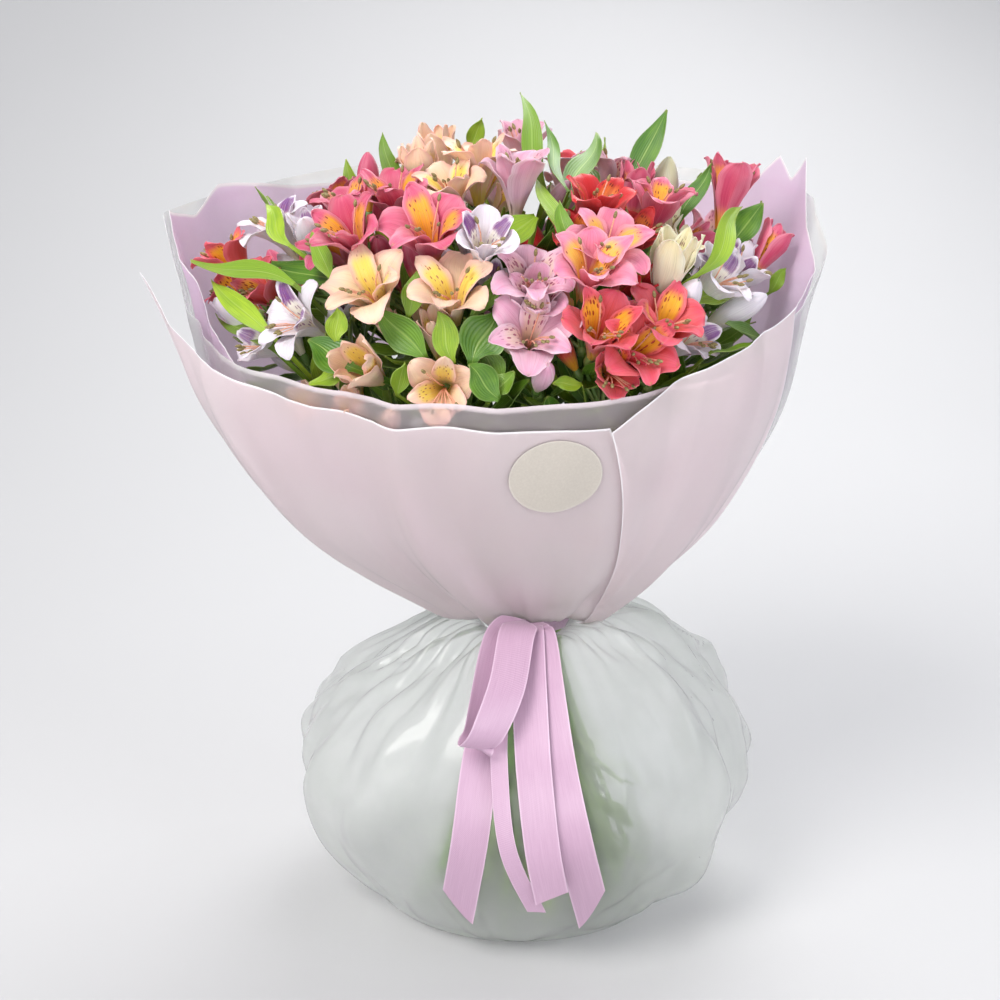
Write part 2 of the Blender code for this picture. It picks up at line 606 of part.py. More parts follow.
def settle_bloom(bloom, hub, others):
    """Moves, turns, closes or shrinks a bloom as little as it takes to be clear of its neighbours."""
    best, fewest = None, math.inf
    sink = (bloom["throat"] - hub).normalized() * MM
    across = frame_of(bloom["axis"])
    for size, opened, shift, slide, spin in bloom_trials():
        place = bloom["throat"] + sink * shift + across @ Vector((*slide, 0)) * MM
        trial = new_bloom(place, bloom["axis"], bloom["open"] * opened, bloom["size"] * size, bloom["spin"] + spin)
        body = body_of([bloom_shape(trial, hub)])
        if best is None:
            others = near(body, others)
        count = crossings(body, others)
        if count < fewest:
            best, fewest = (trial, body), count
        if count == 0:
            break
    return best


def plan_umbels(wraps):
    umbels = wished_umbels()
    tie = Vector((0, 0, TIE_HEIGHT))
    for umbel in umbels.values():
        middle = sum((b["throat"] for b in umbel["blooms"]), Vector()) / len(umbel["blooms"])
        umbel["hub"] = middle - (middle - tie).normalized() * HUB_DEPTH
        umbel["lean"] = Vector((umbel["hub"].x, umbel["hub"].y, 0)) / (DOME_REACH.x * 0.8)
    spread_leans([umbel["lean"] for umbel in umbels.values()])
    for umbel in umbels.values():
        umbel["line"], umbel["way"] = stalk_line(umbel["lean"], umbel["hub"])
        umbel["stalk_body"] = body_of(stalk_rods(umbel))
    for name, umbel in umbels.items():
        others = list(wraps)
        others += [u["stalk_body"] for n, u in umbels.items() if n != name]
        others += [body for n, u in umbels.items() if n != name for body in u.get("bodies", [])]
        settled = [settle_bloom(bloom, umbel["hub"], others) for bloom in umbel["blooms"]]
        umbel["blooms"] = [bloom for bloom, _ in settled]
        umbel["bodies"] = [body for _, body in settled] + [body_of([hub_shape(umbel)])]
    return umbels


def wished_leaves():
    """Foot, tip, facing and width of the leaves in view, then of those on the far side, then of those deeper in."""
    leaves = []
    for px, py, depth, tip_px, tip_py, tip_depth, width in LEAVES:
        low, tip = on_dome(px, py, depth * MM), on_dome(tip_px, tip_py, tip_depth * MM)
        face = (-sight(px, py).normalized() + Vector((0, 0, 0.5))).normalized()
        leaves.append((low, tip, face, width * MM))
    draw = random.Random(23)
    for k in range(FAR_LEAVES + INNER_LEAVES):
        far = k < FAR_LEAVES
        turn = math.radians(100 + 160 * (k + 0.5) / FAR_LEAVES if far else k * 137.5)
        out = draw.uniform(0.55, 0.92) if far else draw.uniform(0.35, 0.8)
        low = dome_point(out * math.sin(turn), -out * math.cos(turn), 0.9 if far else 0.66)
        outward = dome_normal(low)
        reach = draw.uniform(48, 70) * MM if far else draw.uniform(34, 48) * MM
        tip = low + (outward + Vector((0, 0, draw.uniform(0.3, 1.0)))).normalized() * reach
        face = outward.cross(Vector((-outward.y, outward.x, 0)).normalized())
        leaves.append((low, tip, -face if face.z < 0 else face, draw.uniform(13, 20) * MM))
    return leaves


def leaf_feet(umbels, place):
    """The three stalks that pass nearest below a place, and the point where a leaf would leave each."""
    found = []
    for name, umbel in umbels.items():
        top, bottom = umbel["line"][-1], umbel["line"][4]
        t = (place.z - 34 * MM - bottom.z) / (top.z - bottom.z)
        point = bottom.lerp(top, min(max(t, 0.2), 0.94))
        found.append(((point - place).length, name, point))
    return [(name, point) for _, name, point in sorted(found, key=lambda f: f[0])[:3]]


def leaf_trials():
    """Changes to a leaf, the smallest first: width, length, mm outwards, roll in degrees, arch, and mm sideways."""
    trials = itertools.product((1, 0.8, 0.62), (1, 0.82), (0, 6, 12, -6, 18, 26), (0, 25, -25, 50, -50),
                               (0.1, -0.06, 0.22), (0, 6, -6))
    return sorted(trials, key=lambda c: 30 * (1 - c[0]) + 40 * (1 - c[1]) + abs(c[2]) + abs(c[3]) / 6
                  + 20 * abs(c[4] - 0.1) + abs(c[5]))


def settle_leaf(low, tip, face, width, foot, others, sisters):
    """The leaf as wished, or the least changed one that is clear of its neighbours, if there is one. Its blade
    is clear of those on its own stalk, its sisters."""
    along = (tip - low).normalized()
    away = (tip - DOME_CENTRE).normalized() * MM
    aside = along.cross(face).normalized() * MM
    first = True
    for share, length, lift, roll, arch, slide in leaf_trials():
        turned = face.copy()
        turned.rotate(Matrix.Rotation(math.radians(roll), 3, along))
        leaf = dict(foot=foot, low=low + away * lift * 0.6 + aside * slide, face=turned, width=width * share,
                    tip=low.lerp(tip, length) + away * lift + aside * slide, arch=arch)
        body = body_of([leaf_shape(leaf)])
        if first:
            others, first = near(body, others, 30 * MM), False
        if crossings(body, others) == 0:
            blade = body_of([leaf_shape(leaf, False)])
            if crossings(blade, sisters) == 0:
                return leaf, body, blade
    return None


def plan_leaves(umbels, wraps):
    """Gives each leaf that finds room to a stalk near it."""
    for umbel in umbels.values():
        umbel["leaves"], umbel["leaf_bodies"], umbel["blades"] = [], [], []
    for low, tip, face, width in wished_leaves():
        for name, foot in leaf_feet(umbels, low):
            others = wraps + [b for u in umbels.values() for b in u["bodies"]]
            others += [b for n, u in umbels.items() if n != name for b in [u["stalk_body"], *u["leaf_bodies"]]]
            found = settle_leaf(low, tip, face, width, foot, others, umbels[name]["blades"])
            if found:
                for kind, made in zip(("leaves", "leaf_bodies", "blades"), found):
                    umbels[name][kind].append(made)
                break


def plan_bouquet():
    wraps = wrap_bodies()
    umbels = plan_umbels(wraps)
    plan_leaves(umbels, wraps)
    return umbels


# Making objects

def clear_scene():
    for obj in list(bpy.data.objects):
        bpy.data.objects.remove(obj)


def finish(obj, colour, roughness=0.6):
    """Gives the object a material of its own."""
    made = bpy.data.materials.new(obj.name)
    made.use_nodes = True
    shader = made.node_tree.nodes["Principled BSDF"]
    shader.inputs["Base Color"].default_value = (*COLOURS[colour], 1)
    shader.inputs["Roughness"].default_value = roughness
    obj.data.materials.clear()
    obj.data.materials.append(made)


def mesh_object(name, shape, home, edges=()):
    """A mesh object whose faces point outwards."""
    mesh = bpy.data.meshes.new(name)
    mesh.from_pydata(shape[0], edges, shape[1])
    bm = bmesh.new()
    bm.from_mesh(mesh)
    bmesh.ops.recalc_face_normals(bm, faces=bm.faces)
    bm.to_mesh(mesh)
    bm.free()
    obj = bpy.data.objects.new(name, mesh)
    home.objects.link(obj)
    return obj


def thin_solid(name, surface, thickness, home, offset=0.0):
    """An open surface made solid, evenly about it or, with an offset of -1, on its inner side only."""
    obj = mesh_object(name, surface, home)
    shell = obj.modifiers.new("Solidify", "SOLIDIFY")
    shell.thickness = thickness
    shell.offset = offset
    return obj


def new_collection(name):
    made = bpy.data.collections.new(name)
    bpy.context.scene.collection.children.link(made)
    return made


def fill_hollows(mesh):
    """Removes the skin of any hollow that a union sealed, which is the smaller of the mesh's separate skins."""
    bm = bmesh.new()
    bm.from_mesh(mesh)
    left = set(bm.verts)
    skins = []
    while left:
        skin, edge = set(), [left.pop()]
        while edge:
            vert = edge.pop()
            skin.add(vert)
            fresh = {e.other_vert(vert) for e in vert.link_edges} & left
            left -= fresh
            edge += fresh
        skins.append(skin)
    largest = max(skins, key=len)
    bmesh.ops.delete(bm, geom=[v for skin in skins if skin is not largest for v in skin], context="VERTS")
    bm.to_mesh(mesh)
    bm.free()


def fuse(obj, pieces):
    """Joins a collection of closed pieces to the object by one Boolean union, and removes them."""
    if pieces.objects:
        for piece in pieces.objects:
            piece.hide_render = True
            piece.display_type = "WIRE"
        union = obj.modifiers.new("Union", "BOOLEAN")
        union.operation = "UNION"
        union.operand_type = "COLLECTION"
        union.collection = pieces
        union.solver = "MANIFOLD"
        graph = bpy.context.evaluated_depsgraph_get()
        whole = bpy.data.meshes.new_from_object(obj.evaluated_get(graph))
        obj.modifiers.clear()
        obj.data = whole
        fill_hollows(whole)
    for piece in list(pieces.objects):
        bpy.data.objects.remove(piece)
    bpy.data.collections.remove(pieces)


def make_umbel(name, umbel, home):
    """The blooms of one stem, joined by their own stalks at the hub."""
    pieces = new_collection(name + "_pieces")
    obj = mesh_object(name, hub_shape(umbel), home)
    for bloom in umbel["blooms"]:
        mesh_object("bloom", bloom_shape(bloom, umbel["hub"]), pieces)
    fuse(obj, pieces)
    finish(obj, umbel["variety"])


def make_stalk(name, line, home):
    """A round stalk along a line, from a curve whose end caps are welded on."""
    curve = bpy.data.curves.new(name, "CURVE")
    curve.dimensions = "3D"
    curve.bevel_depth = STALK_RADIUS
    curve.bevel_resolution = 0
    curve.use_fill_caps = True
    spline = curve.splines.new("POLY")
    spline.points.add(len(line) - 1)
    for point, place in zip(spline.points, line):
        point.co = (*place, 1)
    guide = bpy.data.objects.new(name + "_guide", curve)
    home.objects.link(guide)
    graph = bpy.context.evaluated_depsgraph_get()
    mesh = bpy.data.meshes.new_from_object(guide.evaluated_get(graph))
    bm = bmesh.new()
    bm.from_mesh(mesh)
    bmesh.ops.remove_doubles(bm, verts=bm.verts, dist=0.01 * MM)
    bmesh.ops.recalc_face_normals(bm, faces=bm.faces)
    bm.to_mesh(mesh)
    bm.free()
    obj = bpy.data.objects.new(name, mesh)
    home.objects.link(obj)
    bpy.data.objects.remove(guide)
    return obj


def make_stem(name, umbel, home):
    """One stalk from its cut end to its hub, with its leaves."""
    pieces = new_collection(name + "_pieces")
    obj = make_stalk(name, umbel["line"], home)
    for leaf in umbel["leaves"]:
        mesh_object("leaf", leaf_shape(leaf), pieces)
    fuse(obj, pieces)
    finish(obj, "leaf")


def ring_solid(name, radii, heights, home):
    """A plain ring about the Z axis, from a turned profile that runs down its outer side."""
    (r0, r1), (z0, z1) = radii, heights
    profile = [(r1, 0, z1), (r1, 0, z0), (r0, 0, z0), (r0, 0, z1)]
    obj = mesh_object(name, (profile, []), home, [(0, 1), (1, 2), (2, 3), (3, 0)])
    turn = obj.modifiers.new("Screw", "SCREW")
    turn.steps = 16
    turn.render_steps = 16
    turn.use_merge_vertices = True
    turn.merge_threshold = 0.01 * MM
    return obj


def down_bag(right, down, out):
    """A place over the front of the bag: mm to the right, mm down it from the neck, and mm out from it."""
    t, left = len(BAG_OUTLINE) - 1.0, down
    here = through(BAG_OUTLINE, t)
    while left > 0 and t > 2:
        t -= 0.1
        there = through(BAG_OUTLINE, t)
        left -= math.dist(here, there)
        here = there
    angle = math.degrees(right / max(here[0], 30))
    return bag_point(angle, t, out * MM + abs(fold_depth(1, t)))


def strand_surface(share, line, free_end):
    """A strand of ribbon: a strip that keeps level from side to side, with a V cut into a free end."""
    steps = len(line) - 1
    places = [down_bag(*spot) for spot in line]
    points = []
    for k, place in enumerate(places):
        way = (places[min(k + 1, steps)] - places[max(k - 1, 0)]).normalized()
        side = (Vector((1, 0, 0)) - way * way.x).normalized() * RIBBON_WIDTH * share / 2
        points += [place - side, place + side]
    faces = [(2 * k, 2 * k + 1, 2 * k + 3, 2 * k + 2) for k in range(steps)]
    if free_end:
        faces.pop()
        points.append(places[-1].lerp(places[-2], 0.22 * share))
        notch, end = 2 * steps + 2, 2 * steps
        faces += [(end - 2, end - 1, notch), (end - 2, notch, end), (end - 1, end + 1, notch)]
    return points, faces


def make_ribbon(home):
    """The band round the neck, its knot in front, and the strands that hang from the knot."""
    pieces = new_collection("ribbon_pieces")
    obj = ring_solid("ribbon", (BAND_RADIUS - RIBBON, BAND_RADIUS), BAND_HEIGHTS, home)
    knot = [circle(Vector((0, -y, z)) * MM, frame_of(Vector((0, -1, 0))), r * MM, 6, 0)
            for y, z, r in ((28.2, 189.5, 3.0), (38, 190.5, 3.6), (50, 194, 5.5), (58, 194, 4.0))]
    mesh_object("knot", loft(knot), pieces)
    for name, (share, line) in STRANDS.items():
        thin_solid(name, strand_surface(share, line, name != "loop"), RIBBON, pieces)
    fuse(obj, pieces)
    finish(obj, "ribbon", 0.35)


def make_sticker(home):
    """A round blank label that follows the curve of the front paper."""
    angle, height = STICKER_PLACE
    stand = LAYER_AT_RIM + SHEET / 2 + STICKER / 2 + 2 * GAP
    points = []
    for k in range(20):
        turn = math.tau * k / 20
        right, up = STICKER_RADIUS * math.cos(turn), STICKER_RADIUS * math.sin(turn)
        step = collar_step(height + up * 0.84 / MM)
        radius = outline_point(COLLAR_OUTLINE, step, 0)[0]
        points.append(collar_point(angle + math.degrees(right / radius), step, stand))
    points.append(collar_point(angle, collar_step(height), stand))
    faces = [(k, (k + 1) % 20, 20) for k in range(20)]
    finish(thin_solid("sticker", (points, faces), STICKER, home), "sticker")


def main():
    clear_scene()
    bouquet = new_collection("alstroemeria_bouquet")
    umbels = plan_bouquet()
    for name, umbel in umbels.items():
        make_stem("stem_" + name, umbel, bouquet)
        make_umbel("umbel_" + name, umbel, bouquet)
    finish(ring_solid("tie_string", STRING_RADII, STRING_HEIGHTS, bouquet), "string")
    finish(thin_solid("film_bag", film_surface(), FILM, bouquet, -1), "film", 0.4)
    for name, sheet in SHEETS.items():
        finish(thin_solid(name, sheet_surface(sheet), SHEET, bouquet), "paper")
    make_ribbon(bouquet)
    make_sticker(bouquet)


main()
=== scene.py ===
import itertools
import math
import random

import bpy
import numpy as np
from mathutils import Matrix, Vector
from mathutils.kdtree import KDTree


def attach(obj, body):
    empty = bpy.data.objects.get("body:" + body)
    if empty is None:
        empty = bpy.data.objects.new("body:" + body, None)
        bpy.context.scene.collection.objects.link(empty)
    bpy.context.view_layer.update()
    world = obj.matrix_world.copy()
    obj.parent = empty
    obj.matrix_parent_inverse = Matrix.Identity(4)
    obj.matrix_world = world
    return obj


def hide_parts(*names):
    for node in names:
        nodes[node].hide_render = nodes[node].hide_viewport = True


# A hand-tied bouquet of cut alstroemeria in its film bag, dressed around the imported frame.
# Lengths are metres in the frame, and millimetres in the tables, where mm turns them.
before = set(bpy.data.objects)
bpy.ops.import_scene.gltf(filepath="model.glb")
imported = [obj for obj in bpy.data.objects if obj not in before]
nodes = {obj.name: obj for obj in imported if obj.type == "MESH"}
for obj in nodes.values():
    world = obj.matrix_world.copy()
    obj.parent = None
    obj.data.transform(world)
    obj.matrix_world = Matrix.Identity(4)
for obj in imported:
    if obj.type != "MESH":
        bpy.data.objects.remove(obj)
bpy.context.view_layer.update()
mm = 0.001


def mix(a, b, t):
    return a + (b - a) * t


# The plan: where each flower and leaf sits, by the pixels that show it
shot = {"eye": Vector((-17.4, -939.0, 526.0)) * mm, "pitch": math.radians(15.4), "focalPx": 1500,
        "halfPx": 500}
dome = {"centre": Vector((-18, 8, 335)) * mm, "reach": Vector((176, 136, 150)) * mm, "hubDepth": 52 * mm}
bundle = {"tieHeight": 188 * mm, "radius": 20.5 * mm, "spacing": 0.33, "cutHeight": 1.75 * mm,
          "footSpread": 62 * mm, "stalk": 2.0 * mm, "gap": 0.3 * mm}


# Each umbel's blooms: the throat's pixel, mm behind the dome, how open it is, its size, and how many
# degrees it leans right and up
umbelPicks = {
    "flame_front": ("flame", [(600, 332, -8, 0.7, 1.15, -5, 10), (634, 352, -4, 1.0, 1.05, 5, 0),
                              (662, 326, -4, 0.9, 1.05, 5, 15), (612, 372, 4, 0.7, 0.95, -5, -10)]),
    "peach_mid": ("peach", [(372, 292, -6, 1.0, 1.05, -5, 5), (452, 296, -2, 0.9, 1.05, 0, 10),
                            (442, 386, 6, 0.7, 1.0, 5, -15)]),
    "rose_mid": ("rose", [(430, 236, -8, 1.0, 1.15, 5, 5), (378, 264, 0, 1.0, 1.05, -5, 0)]),
    "salmon_mid": ("salmon", [(606, 250, -10, 1.0, 1.0, 0, 0), (590, 292, -6, 0.9, 1.05, -5, 10)]),
    "blush_mid": ("blush", [(541, 276, -2, 0.9, 1.0, 0, 10), (537, 302, 4, 0.7, 0.9, -5, 0),
                            (549, 336, -4, 1.0, 1.05, 0, 0), (543, 376, 2, 0.0, 0.8, 5, 10)]),
    "plum_mid": ("plum", [(463, 222, 8, 0.5, 1.0, 0, 10), (487, 268, 0, 0.9, 0.95, 15, 0),
                          (512, 284, 6, 0.8, 0.9, 5, -5)]),
    "scarlet_top": ("scarlet", [(600, 214, 0, 1.0, 1.1, 0, 10), (632, 238, 10, 0.7, 0.9, 10, 0),
                                (572, 240, 10, 0.7, 0.9, -10, 0)]),
    "plum_left": ("plum", [(300, 322, 4, 0.9, 1.0, -10, -10), (262, 352, 8, 0.8, 0.8, 0, 0),
                           (243, 316, 4, 0.3, 0.9, -25, 10)]),
    "rose_right": ("rose", [(728, 192, 0, 0.5, 1.1, 10, 20), (766, 252, 4, 0.3, 0.9, 20, 10)]),
    "plum_right": ("plum", [(722, 252, 2, 0.3, 1.1, 15, 15), (714, 283, -4, 0.9, 1.0, 5, 0),
                            (741, 279, 0, 0.6, 0.9, 10, 0), (738, 310, 2, 0.0, 1.0, 30, -10)]),
    "peach_top": ("peach", [(440, 158, 6, 0.3, 1.0, -5, 15), (420, 176, 4, 0.3, 1.0, -10, 10),
                            (478, 168, 0, 0.8, 1.05, 0, 10), (452, 192, 4, 0.8, 0.95, 0, 0)]),
    "blush_top": ("blush", [(508, 178, -4, 0.9, 1.05, 0, 10), (522, 150, 10, 0.6, 1.0, 5, 20)]),
    "rose_left": ("rose", [(352, 210, 0, 0.9, 1.0, -10, 5), (395, 203, 4, 1.0, 1.1, 5, 5),
                           (368, 180, 8, 0.0, 0.9, -15, 20), (335, 250, 8, 0.9, 0.9, -10, 0)]),
    "rose_top_right": ("rose", [(654, 214, 2, 0.8, 1.0, 5, 10), (634, 193, 14, 0.3, 0.9, 0, 15)]),
    "cream_top": ("cream", [(663, 192, 8, 0.0, 1.15, 0, 15), (664, 262, -4, 0.3, 1.15, 5, 20)]),
    "plum_top_left": ("plum", [(280, 230, -4, 1.0, 1.0, 10, 5), (316, 238, 12, 0.5, 0.9, 10, 15)]),
    "flame_left": ("flame", [(232, 262, 2, 0.8, 1.0, -10, 10), (225, 295, 6, 0.9, 0.9, -10, 0),
                             (268, 293, 10, 1.0, 1.0, 10, 0)]),
    "plum_low_right": ("plum", [(694, 330, -2, 0.8, 0.85, 10, 0), (677, 304, 2, 0.0, 1.0, 0, 10)]),
    "peach_front": ("peach", [(363, 378, 4, 0.3, 1.15, 0, 0), (300, 404, 14, 0.6, 0.9, -5, -10)]),
}

# Umbels on the far side: variety, angle, and share of the dome's width
farUmbels = {
    "rose_back_left": ("rose", -128, 0.80),
    "peach_back": ("peach", -160, 0.62),
    "plum_back": ("plum", 172, 0.86),
    "flame_back_right": ("flame", 138, 0.78),
    "blush_back_right": ("blush", 122, 0.60),
}

# Leaves: the blade's foot as a pixel and mm behind the dome, the same for the tip, and the width in mm
leafPicks = [
    (545, 190, 4, 520, 93, 4, 13), (570, 198, 8, 597, 133, 8, 16), (574, 216, 0, 541, 151, 0, 15),
    (628, 188, 12, 667, 110, 10, 16), (602, 196, 14, 587, 153, 14, 16), (690, 226, 2, 735, 146, 0, 12),
    (730, 246, -2, 763, 203, -4, 18), (470, 152, 16, 482, 118, 16, 11), (560, 252, -6, 520, 168, -8, 11),
    (536, 216, 2, 484, 250, -2, 21), (556, 264, -8, 547, 211, -10, 17), (482, 364, -2, 514, 298, -10, 27),
    (425, 358, 0, 366, 297, -10, 20), (443, 366, 0, 424, 303, -8, 19), (408, 317, 0, 418, 271, -8, 13),
    (354, 368, 2, 308, 340, -6, 23), (337, 342, 4, 337, 308, -2, 13), (344, 298, -2, 245, 262, -14, 17),
    (325, 288, 2, 236, 272, -6, 14), (285, 342, 2, 219, 277, -4, 17), (277, 352, 6, 216, 314, 2, 13),
    (472, 312, -4, 513, 255, -12, 12), (530, 312, 0, 520, 288, -6, 12), (700, 345, 0, 742, 336, -4, 15),
    (688, 303, 0, 739, 285, -8, 17), (668, 288, 2, 698, 232, 0, 13), (634, 312, 4, 639, 262, 2, 6),
    (632, 318, 4, 621, 287, 2, 12), (500, 400, 4, 470, 366, -2, 19), (492, 396, 2, 515, 370, -4, 12),
    (496, 390, 4, 467, 352, 0, 16), (348, 370, 6, 309, 384, 2, 14), (407, 398, 4, 415, 366, -4, 12),
    (582, 384, 4, 553, 384, 0, 9), (754, 332, 4, 713, 318, 0, 16), (769, 293, 4, 786, 268, 2, 9),
    (346, 280, -2, 329, 236, -6, 12), (310, 262, 8, 300, 232, 6, 12),
]


# The film's outline, radius and height in mm: the bag from the floor up to the neck, then the collar
bagOutline = [(0, 0), (58, 0), (96, 0), (107, 8), (122, 26), (139, 53), (149, 86), (145, 117), (129, 146),
              (104, 171), (82, 185), (62, 191), (45, 190), (34, 185), (27, 180)]

collarOutline = [(27, 195), (36, 198), (54, 203), (76, 215), (108, 238), (138, 267), (165, 307), (181, 343),
                 (188, 378), (192, 404), (200, 440), (207, 486)]

# Rim heights in mm by angle in degrees: 0 is the front, -90 the left
filmRim = [(-180, 477), (-150, 472), (-115, 458), (-92, 450), (-80, 392), (-60, 376), (-30, 362), (0, 357),
           (25, 360), (45, 370), (62, 388), (75, 412), (92, 459), (120, 468), (150, 474), (180, 477)]

# Each coloured sheet: its layer, the angles of its sides at the foot and the rim, where it starts, how far
# its corner flares, and its rim
sheetPlans = {
    "paper_back_left": dict(layer=-1, foot=(-150, -62), top=(-158, -52), start=1.5, flare=0, rim=[
        (-158, 462), (-135, 460), (-118, 464), (-113, 464), (-103, 446), (-92, 452), (-80, 425), (-66, 388),
        (-52, 362)]),
    "paper_back_right": dict(layer=-1, foot=(62, 150), top=(50, 158), start=1.5, flare=0, rim=[
        (50, 366), (62, 388), (72, 402), (83, 420), (90, 446), (99, 483), (106, 468), (112, 482), (122, 462),
        (158, 464)]),
    "paper_front": dict(layer=1, foot=(-88, 62), top=(-75, 20), start=0, flare=21, rim=[
        (-75, 424), (-68, 396), (-56, 371), (-40, 356), (-20, 348), (0, 345), (20, 344)]),
    "paper_front_right": dict(layer=2, foot=(50, 82), top=(20, 61), start=1.5, flare=0, rim=[
        (20, 343), (33, 371), (46, 390), (61, 403)]),
}

# The ribbon's strands: share of the width, how much shorter its cut end is on the right in mm, then points:
# mm to the right, mm down the bag, mm out from it and, where it turns, the way across it
ribbonStrands = {
    "left_tail": (1.0, -17, [(0, 34, 9), (-7, 43, 7), (-12, 53, 5), (-17, 90, 3),
                             (-25, 134, 2), (-31, 178, 2), (-39, 236, 9)]),
    "right_tail": (1.0, 19, [(0, 34, 10), (6, 43, 9), (10, 53, 8), (14, 90, 6),
                             (20, 134, 5), (30, 178, 4), (44, 243, 10)]),
    "middle_tail": (0.95, 8, [(0, 34, 9), (2, 43, 10), (3, 53, 10), (4, 90, 8.5),
                              (6, 134, 7.5), (11, 178, 6), (17, 212, 9)]),
    "thin_tail": (0.46, -5, [(0, 35, 9), (-4, 44, 9), (-6, 53, 9), (-12, 100, 8),
                             (-13, 134, 6), (-8, 178, 6), (9, 224, 8)]),
    "loop": (1.0, None, [(0, 34, 12, (1, 0, -0.1)), (-9, 45, 10, (1, 0.1, -0.2)),
                         (-14, 62, 9.5, (0.95, 0.2, -0.3)), (-20, 97, 10, (0.85, 0.35, -0.4)),
                         (-24, 118, 13, (0.72, 0.58, -0.4)), (-24, 125, 20, (0.72, 0.58, -0.4)),
                         (-17, 118, 26, (0.8, 0.4, -0.4)), (-8, 92, 23, (0.92, 0.2, -0.25)),
                         (-3, 56, 17, (1, 0, -0.1)), (0, 34, 12, (1, 0, 0))]),
}


# What the photo doesn't show: the flowers of each far umbel, and leaves on the far side and inside the head
hidden = {"blooms": 4, "farLeaves": 15, "innerLeaves": 14}


def sight(px, py):  # the way the camera sees a pixel
    right = (px - shot["halfPx"]) / shot["focalPx"]
    up = (shot["halfPx"] - py) / shot["focalPx"]
    c, s = math.cos(shot["pitch"]), math.sin(shot["pitch"])
    return Vector((right, c + up * s, up * c - s))


def domeScaled(way):
    return Vector([w / r for w, r in zip(way, dome["reach"])])


def domePoint(flatX, flatY, share=1.0):
    up = math.sqrt(max(1 - flatX ** 2 - flatY ** 2, 0.02))
    return dome["centre"] + Vector((flatX, flatY, up)) * dome["reach"] * share


def onDome(px, py, depth):
    way = sight(px, py)
    scaled, start = domeScaled(way), domeScaled(shot["eye"] - dome["centre"])
    a, b, c = scaled.dot(scaled), scaled.dot(start), start.dot(start) - 1
    root = math.sqrt(max(b * b - a * c, 0.0))
    return shot["eye"] + way * ((-b - root) / a) + way.normalized() * depth


def domeNormal(place):
    return domeScaled(domeScaled(place - dome["centre"])).normalized()


def turnTo(axis, spin=0.0):  # takes +Z to axis, after a spin about it
    return axis.to_track_quat("Z", "Y").to_matrix() @ Matrix.Rotation(math.radians(spin), 3, "Z")


def leaning(place, right, up):
    way = (domeNormal(place) + Vector((0, 0, 0.25))).normalized()
    side = way.cross(Vector((0, 0, 1)))
    side = side.normalized() if side.length > 0.2 else Vector((1, 0, 0))
    way.rotate(Matrix.Rotation(math.radians(up), 3, side))
    way.rotate(Matrix.Rotation(math.radians(right), 3, "Z"))
    return way.normalized()


def newBloom(place, axis, opened, size, spin):
    return {"place": place, "axis": axis, "open": opened, "size": size, "spin": spin,
            "frame": turnTo(axis, spin)}


def wishedUmbels():
    umbels = {}
    for name, (variety, picks) in umbelPicks.items():
        made = []
        for k, (px, py, depth, opened, size, right, up) in enumerate(picks):
            place = onDome(px, py, depth * mm)
            made.append(newBloom(place, leaning(place, right, up), opened, size, 25 * k))
        umbels[name] = {"variety": variety, "blooms": made}
    draw = random.Random(11)
    for name, (variety, angle, share) in farUmbels.items():
        made = []
        for k in range(hidden["blooms"]):
            turn = math.radians(angle + (k % 2 - 0.5) * 24 / share)
            out = min(share + (k // 2 - 0.5) * 0.36, 0.88)
            place = domePoint(out * math.sin(turn), -out * math.cos(turn))
            axis = leaning(place, draw.uniform(-8, 8), draw.uniform(-5, 10))
            opened = 0.0 if k == 3 else draw.uniform(0.75, 1.0)
            made.append(newBloom(place, axis, opened, draw.uniform(0.92, 1.05), draw.uniform(0, 60)))
        umbels[name] = {"variety": variety, "blooms": made}
    return umbels


def spreadLeans(leans):  # the stalks' places in the tied bundle, eased apart
    for _ in range(400):
        for i, a in enumerate(leans):
            for b in leans[:i]:
                between = a - b
                short = bundle["spacing"] * 1.03 - between.length
                if short > 0:
                    a += between.normalized() * short * 0.5
                    b -= between.normalized() * short * 0.5
        for a in leans:
            if a.length > 1:
                a.normalize()


def stalkLine(lean, hub):
    tie = bundle["tieHeight"]
    across = Vector((-lean.y, lean.x, 0)) * bundle["radius"]
    points = []
    for height in (bundle["cutHeight"], 70 * mm, tie - 22 * mm, tie, tie + 26 * mm):
        if height < tie:
            out = -bundle["footSpread"] * (tie - height) / tie
        else:
            out = Vector((hub.x, hub.y)).length * (height - tie) / (hub.z - tie) / max(lean.length, 0.3)
        points.append(lean * out + across + Vector((0, 0, height)))
    way = (hub - points[-1]).normalized()
    return [*points, hub - way * (4 * mm + bundle["gap"])], way


# The solids were eased clear of each other, so each flower and leaf is looked up in its own solid: of the
# small changes that it may have had, the one whose corners are there is the one that it got.
near = 0.04 * mm
# A flower's share of its size and of its opening, mm deeper, mm aside, and degrees round
bloomTries = {"size": (1, 0.92, 0.84, 0.72), "open": (1, 0.75), "sink": (0, 5, -5, 10, -10, 16),
              "slide": ((0, 0), (5, 0), (-5, 0), (0, 5), (0, -5), (9, 4), (-9, 4), (4, -9), (-4, -9)),
              "spin": (0, 30)}
# A leaf's share of its length, mm out and mm aside, then the share of its width, degrees rolled, and its arch
leafTries = {"length": (1, 0.82), "lift": (0, 6, 12, -6, 18, 26), "slide": (0, 6, -6)}
leafTurns = {"width": (1, 0.8, 0.62), "roll": (0, 25, -25, 50, -50), "arch": (0.1, -0.06, 0.22)}


def cornersOf(name):
    points = [v.co for v in nodes[name].data.vertices]
    tree = KDTree(len(points))
    for i, point in enumerate(points):
        tree.insert(point, i)
    tree.balance()
    return tree


def hits(tree, marks):
    return sum(tree.find(mark)[2] < near for mark in marks)


